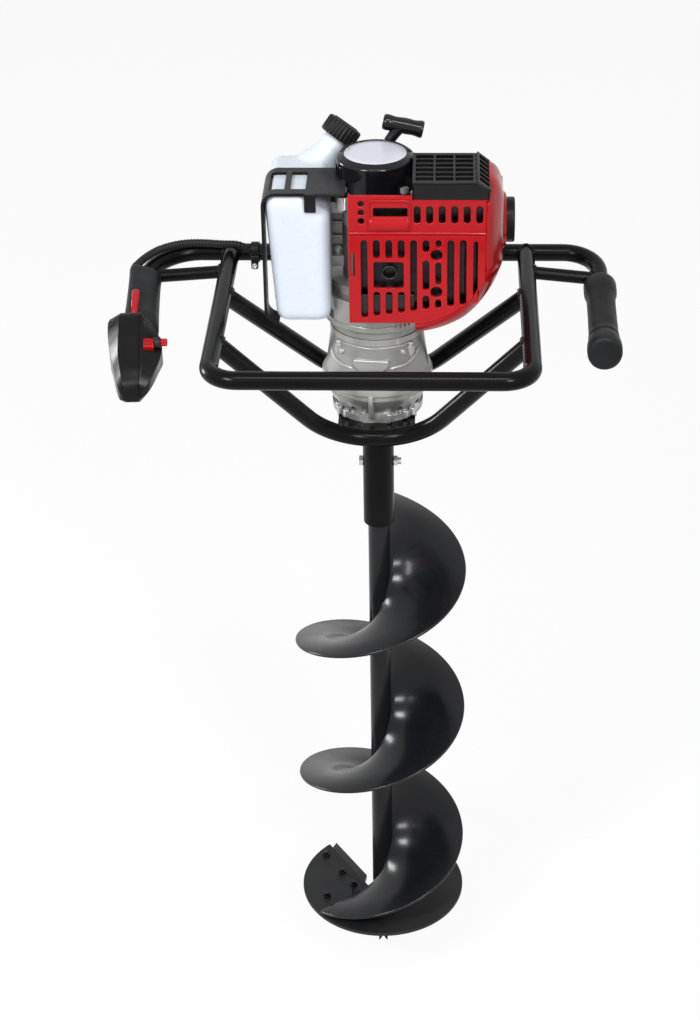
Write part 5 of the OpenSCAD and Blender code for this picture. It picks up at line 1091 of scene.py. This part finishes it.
def seam(point, way, r, big_point, big_way, big_r, count=56):
    """Curve where a round bar meets a thicker one."""
    point, big_point = Vector(point), Vector(big_point)
    way, big_way = Vector(way).normalized(), Vector(big_way).normalized()
    x = way.orthogonal().normalized()
    y = way.cross(x)
    run = way - way.dot(big_way) * big_way
    curve = []
    for x_reach, y_reach in circle_loop(0, 0, r, count):
        start = point + x_reach * x + y_reach * y - big_point
        flat = start - start.dot(big_way) * big_way
        a, b, c = run.dot(run), 2 * flat.dot(run), flat.dot(flat) - big_r ** 2
        t = (-b - math.sqrt(max(b * b - 4 * a * c, 0))) / (2 * a)
        curve.append(big_point + start + t * way)
    return curve


def make_welds():
    """Slightly uneven beads where the tubes of the frame meet."""
    rng = random.Random(11)
    loop_half, loop_way, on_loop = 162, Vector((0, -309, 4)), (-100, 853.1)
    brace_y, brace_r = 12, 7
    v_tubes = ((-160, Vector((0, -38.5, 628))), (-45, Vector((0, 106, 645))))
    mean_r, swell, uneven, wave = 1.9, 0.35, 0.2, 1.9
    curves = []
    for s, (corner, tip) in ((-1, LEFT_ENDS), (1, RIGHT_ENDS)):
        side = Vector((s * loop_half, BAR_Y, BAR_Z))
        curves.append(seam((s * loop_half, *on_loop), -loop_way, TUBE_R, (0, BAR_Y, BAR_Z), RIGHT, TUBE_R))
        for y, apex in v_tubes:
            end = side + loop_way * (BAR_Y - y) / -loop_way.y
            curves.append(seam((apex + end) / 2, end - apex, TUBE_R, side, loop_way, TUBE_R))
        leg = tip - corner
        loop_end = side + loop_way * (BAR_Y - brace_y) / -loop_way.y
        grip_end = corner + leg * (BAR_Y - brace_y) / -leg.y
        middle = (loop_end + grip_end) / 2
        curves.append(seam(middle, loop_end - grip_end, brace_r, side, loop_way, TUBE_R))
        curves.append(seam(middle, grip_end - loop_end, brace_r, corner, leg, TUBE_R))
    beads = []
    for curve in curves:
        size = [mean_r + swell * math.sin(i * wave) + rng.uniform(-uneven, uneven) for i in range(len(curve))]
        beads.append(sweep("bead", curve, lambda i, size=size: size[i], "frame_paint", 10, True))
    carry(joined("weld_beads", beads))


# Camera, light and floor

def make_camera():
    """Camera fitted to the photo: place in metres, aim and roll in radians."""
    pitch, yaw, roll, place = 0.5434, -0.0475, 0.0179, (0.077, -2.316, 1.958)
    focal_px, picture_px, sensor = 2372, 1020, 36
    forward = Vector((math.sin(yaw) * math.cos(pitch), math.cos(yaw) * math.cos(pitch), -math.sin(pitch)))
    level = Vector((math.cos(yaw), -math.sin(yaw), 0))
    plumb = forward.cross(level)
    right = math.cos(roll) * level + math.sin(roll) * plumb
    down = math.cos(roll) * plumb - math.sin(roll) * level
    data = bpy.data.cameras.new("camera")
    data.sensor_width = sensor
    data.lens = focal_px * sensor / picture_px
    data.clip_start, data.clip_end = 0.05, 60
    camera = bpy.data.objects.new("camera", data)
    camera.matrix_world = axes(right, -down, -forward, place)
    scene.collection.objects.link(camera)
    scene.camera = camera


def area_light(name, place, aim, size, power):
    """Lamp at a place in metres that faces a point on the drill's axis."""
    data = bpy.data.lights.new(name, "AREA")
    data.shape = "RECTANGLE"
    data.size, data.size_y = size
    data.energy = power
    light = bpy.data.objects.new(name, data)
    light.location = place
    light.rotation_mode = "QUATERNION"
    light.rotation_quaternion = (Vector((0, 0, aim)) - Vector(place)).to_track_quat("-Z", "Y")
    scene.collection.objects.link(light)


def math_node(tree, operation, first, second):
    """Output of a node that works out one number from two."""
    node = add_node(tree, "Math", {0: first, 1: second})
    node.operation = operation
    return node.outputs[0]


def seen_rays(tree):
    """One for rays from the camera, mirrors and glass, else zero."""
    path = add_node(tree, "LightPath").outputs
    seen = math_node(tree, "MAXIMUM", path["Is Camera Ray"], path["Is Glossy Ray"])
    return math_node(tree, "MAXIMUM", seen, path["Is Transmission Ray"])


def mix_shaders(tree, share, first, second, output):
    """Mixes a second shader into the first by a share, for an output node."""
    mix = add_node(tree, "MixShader", {"Fac": share, 1: first.outputs[0], 2: second.outputs[0]})
    plug(tree.nodes[output], {"Surface": mix.outputs[0]})


def make_light():
    """World that is white where it's seen and dim where it lights, and four lamps."""
    ambient_light = 0.22
    world = bpy.data.worlds.new("world")
    scene.world = world
    world.use_nodes = True
    tree = world.node_tree
    ambient = plug(tree.nodes["Background"], {"Color": WHITE, "Strength": ambient_light})
    white = add_node(tree, "Background", {"Color": WHITE, "Strength": 1.0})
    mix_shaders(tree, seen_rays(tree), ambient, white, "World Output")
    area_light("key", (-1.5, -2.3, 2.7), 0.55, (0.75, 0.85), 84)
    area_light("fill", (1.1, -2.4, 2.5), 0.5, (0.55, 0.95), 48)
    area_light("top", (0.1, -1.35, 3.05), 0.8, (1.3, 0.3), 26)
    area_light("left", (-2.6, 0.9, 0.9), 0.5, (0.6, 0.9), 44)


def make_floor():
    """Plain pale floor: white to the camera and to mirrors, with the object's shadow on it."""
    half, drop, pale, rough, white_share = 14, 0.001, 0.82, 0.9, 0.92
    mesh = bpy.data.meshes.new("floor")
    corners = [(-half, -half, 0), (half, -half, 0), (half, half, 0), (-half, half, 0)]
    mesh.from_pydata(corners, [], [(0, 1, 2, 3)])
    floor = bpy.data.objects.new("floor", mesh)
    floor.location.z = cad_low.z - drop
    scene.collection.objects.link(floor)
    material = bpy.data.materials.new("floor")
    material.use_nodes = True
    tree = material.node_tree
    shader = plug(tree.nodes["Principled BSDF"], {"Base Color": (pale, pale, pale, 1), "Roughness": rough})
    glow = add_node(tree, "Emission", {"Color": WHITE, "Strength": 1.0})
    share = math_node(tree, "MULTIPLY", seen_rays(tree), white_share)
    mix_shaders(tree, share, shader, glow, "Material Output")
    mesh.materials.append(material)


make_camera()
make_light()
make_floor()
make_flight()
make_case_castings()
make_lower_bolts()
make_fan_skirt()
make_tank_web()
make_shroud_front()
make_shroud_side()
make_shield_and_shade()
make_scoop()
make_louvre()
make_end_cover()
make_air_cleaner()
make_recoil()
make_pull_grip()
make_rope()
make_tank()
make_cap()
make_right_grip()
make_left_grip()
make_throttle_case()
make_controls()
make_cable()
make_welds()
scene.view_settings.view_transform = "Standard"
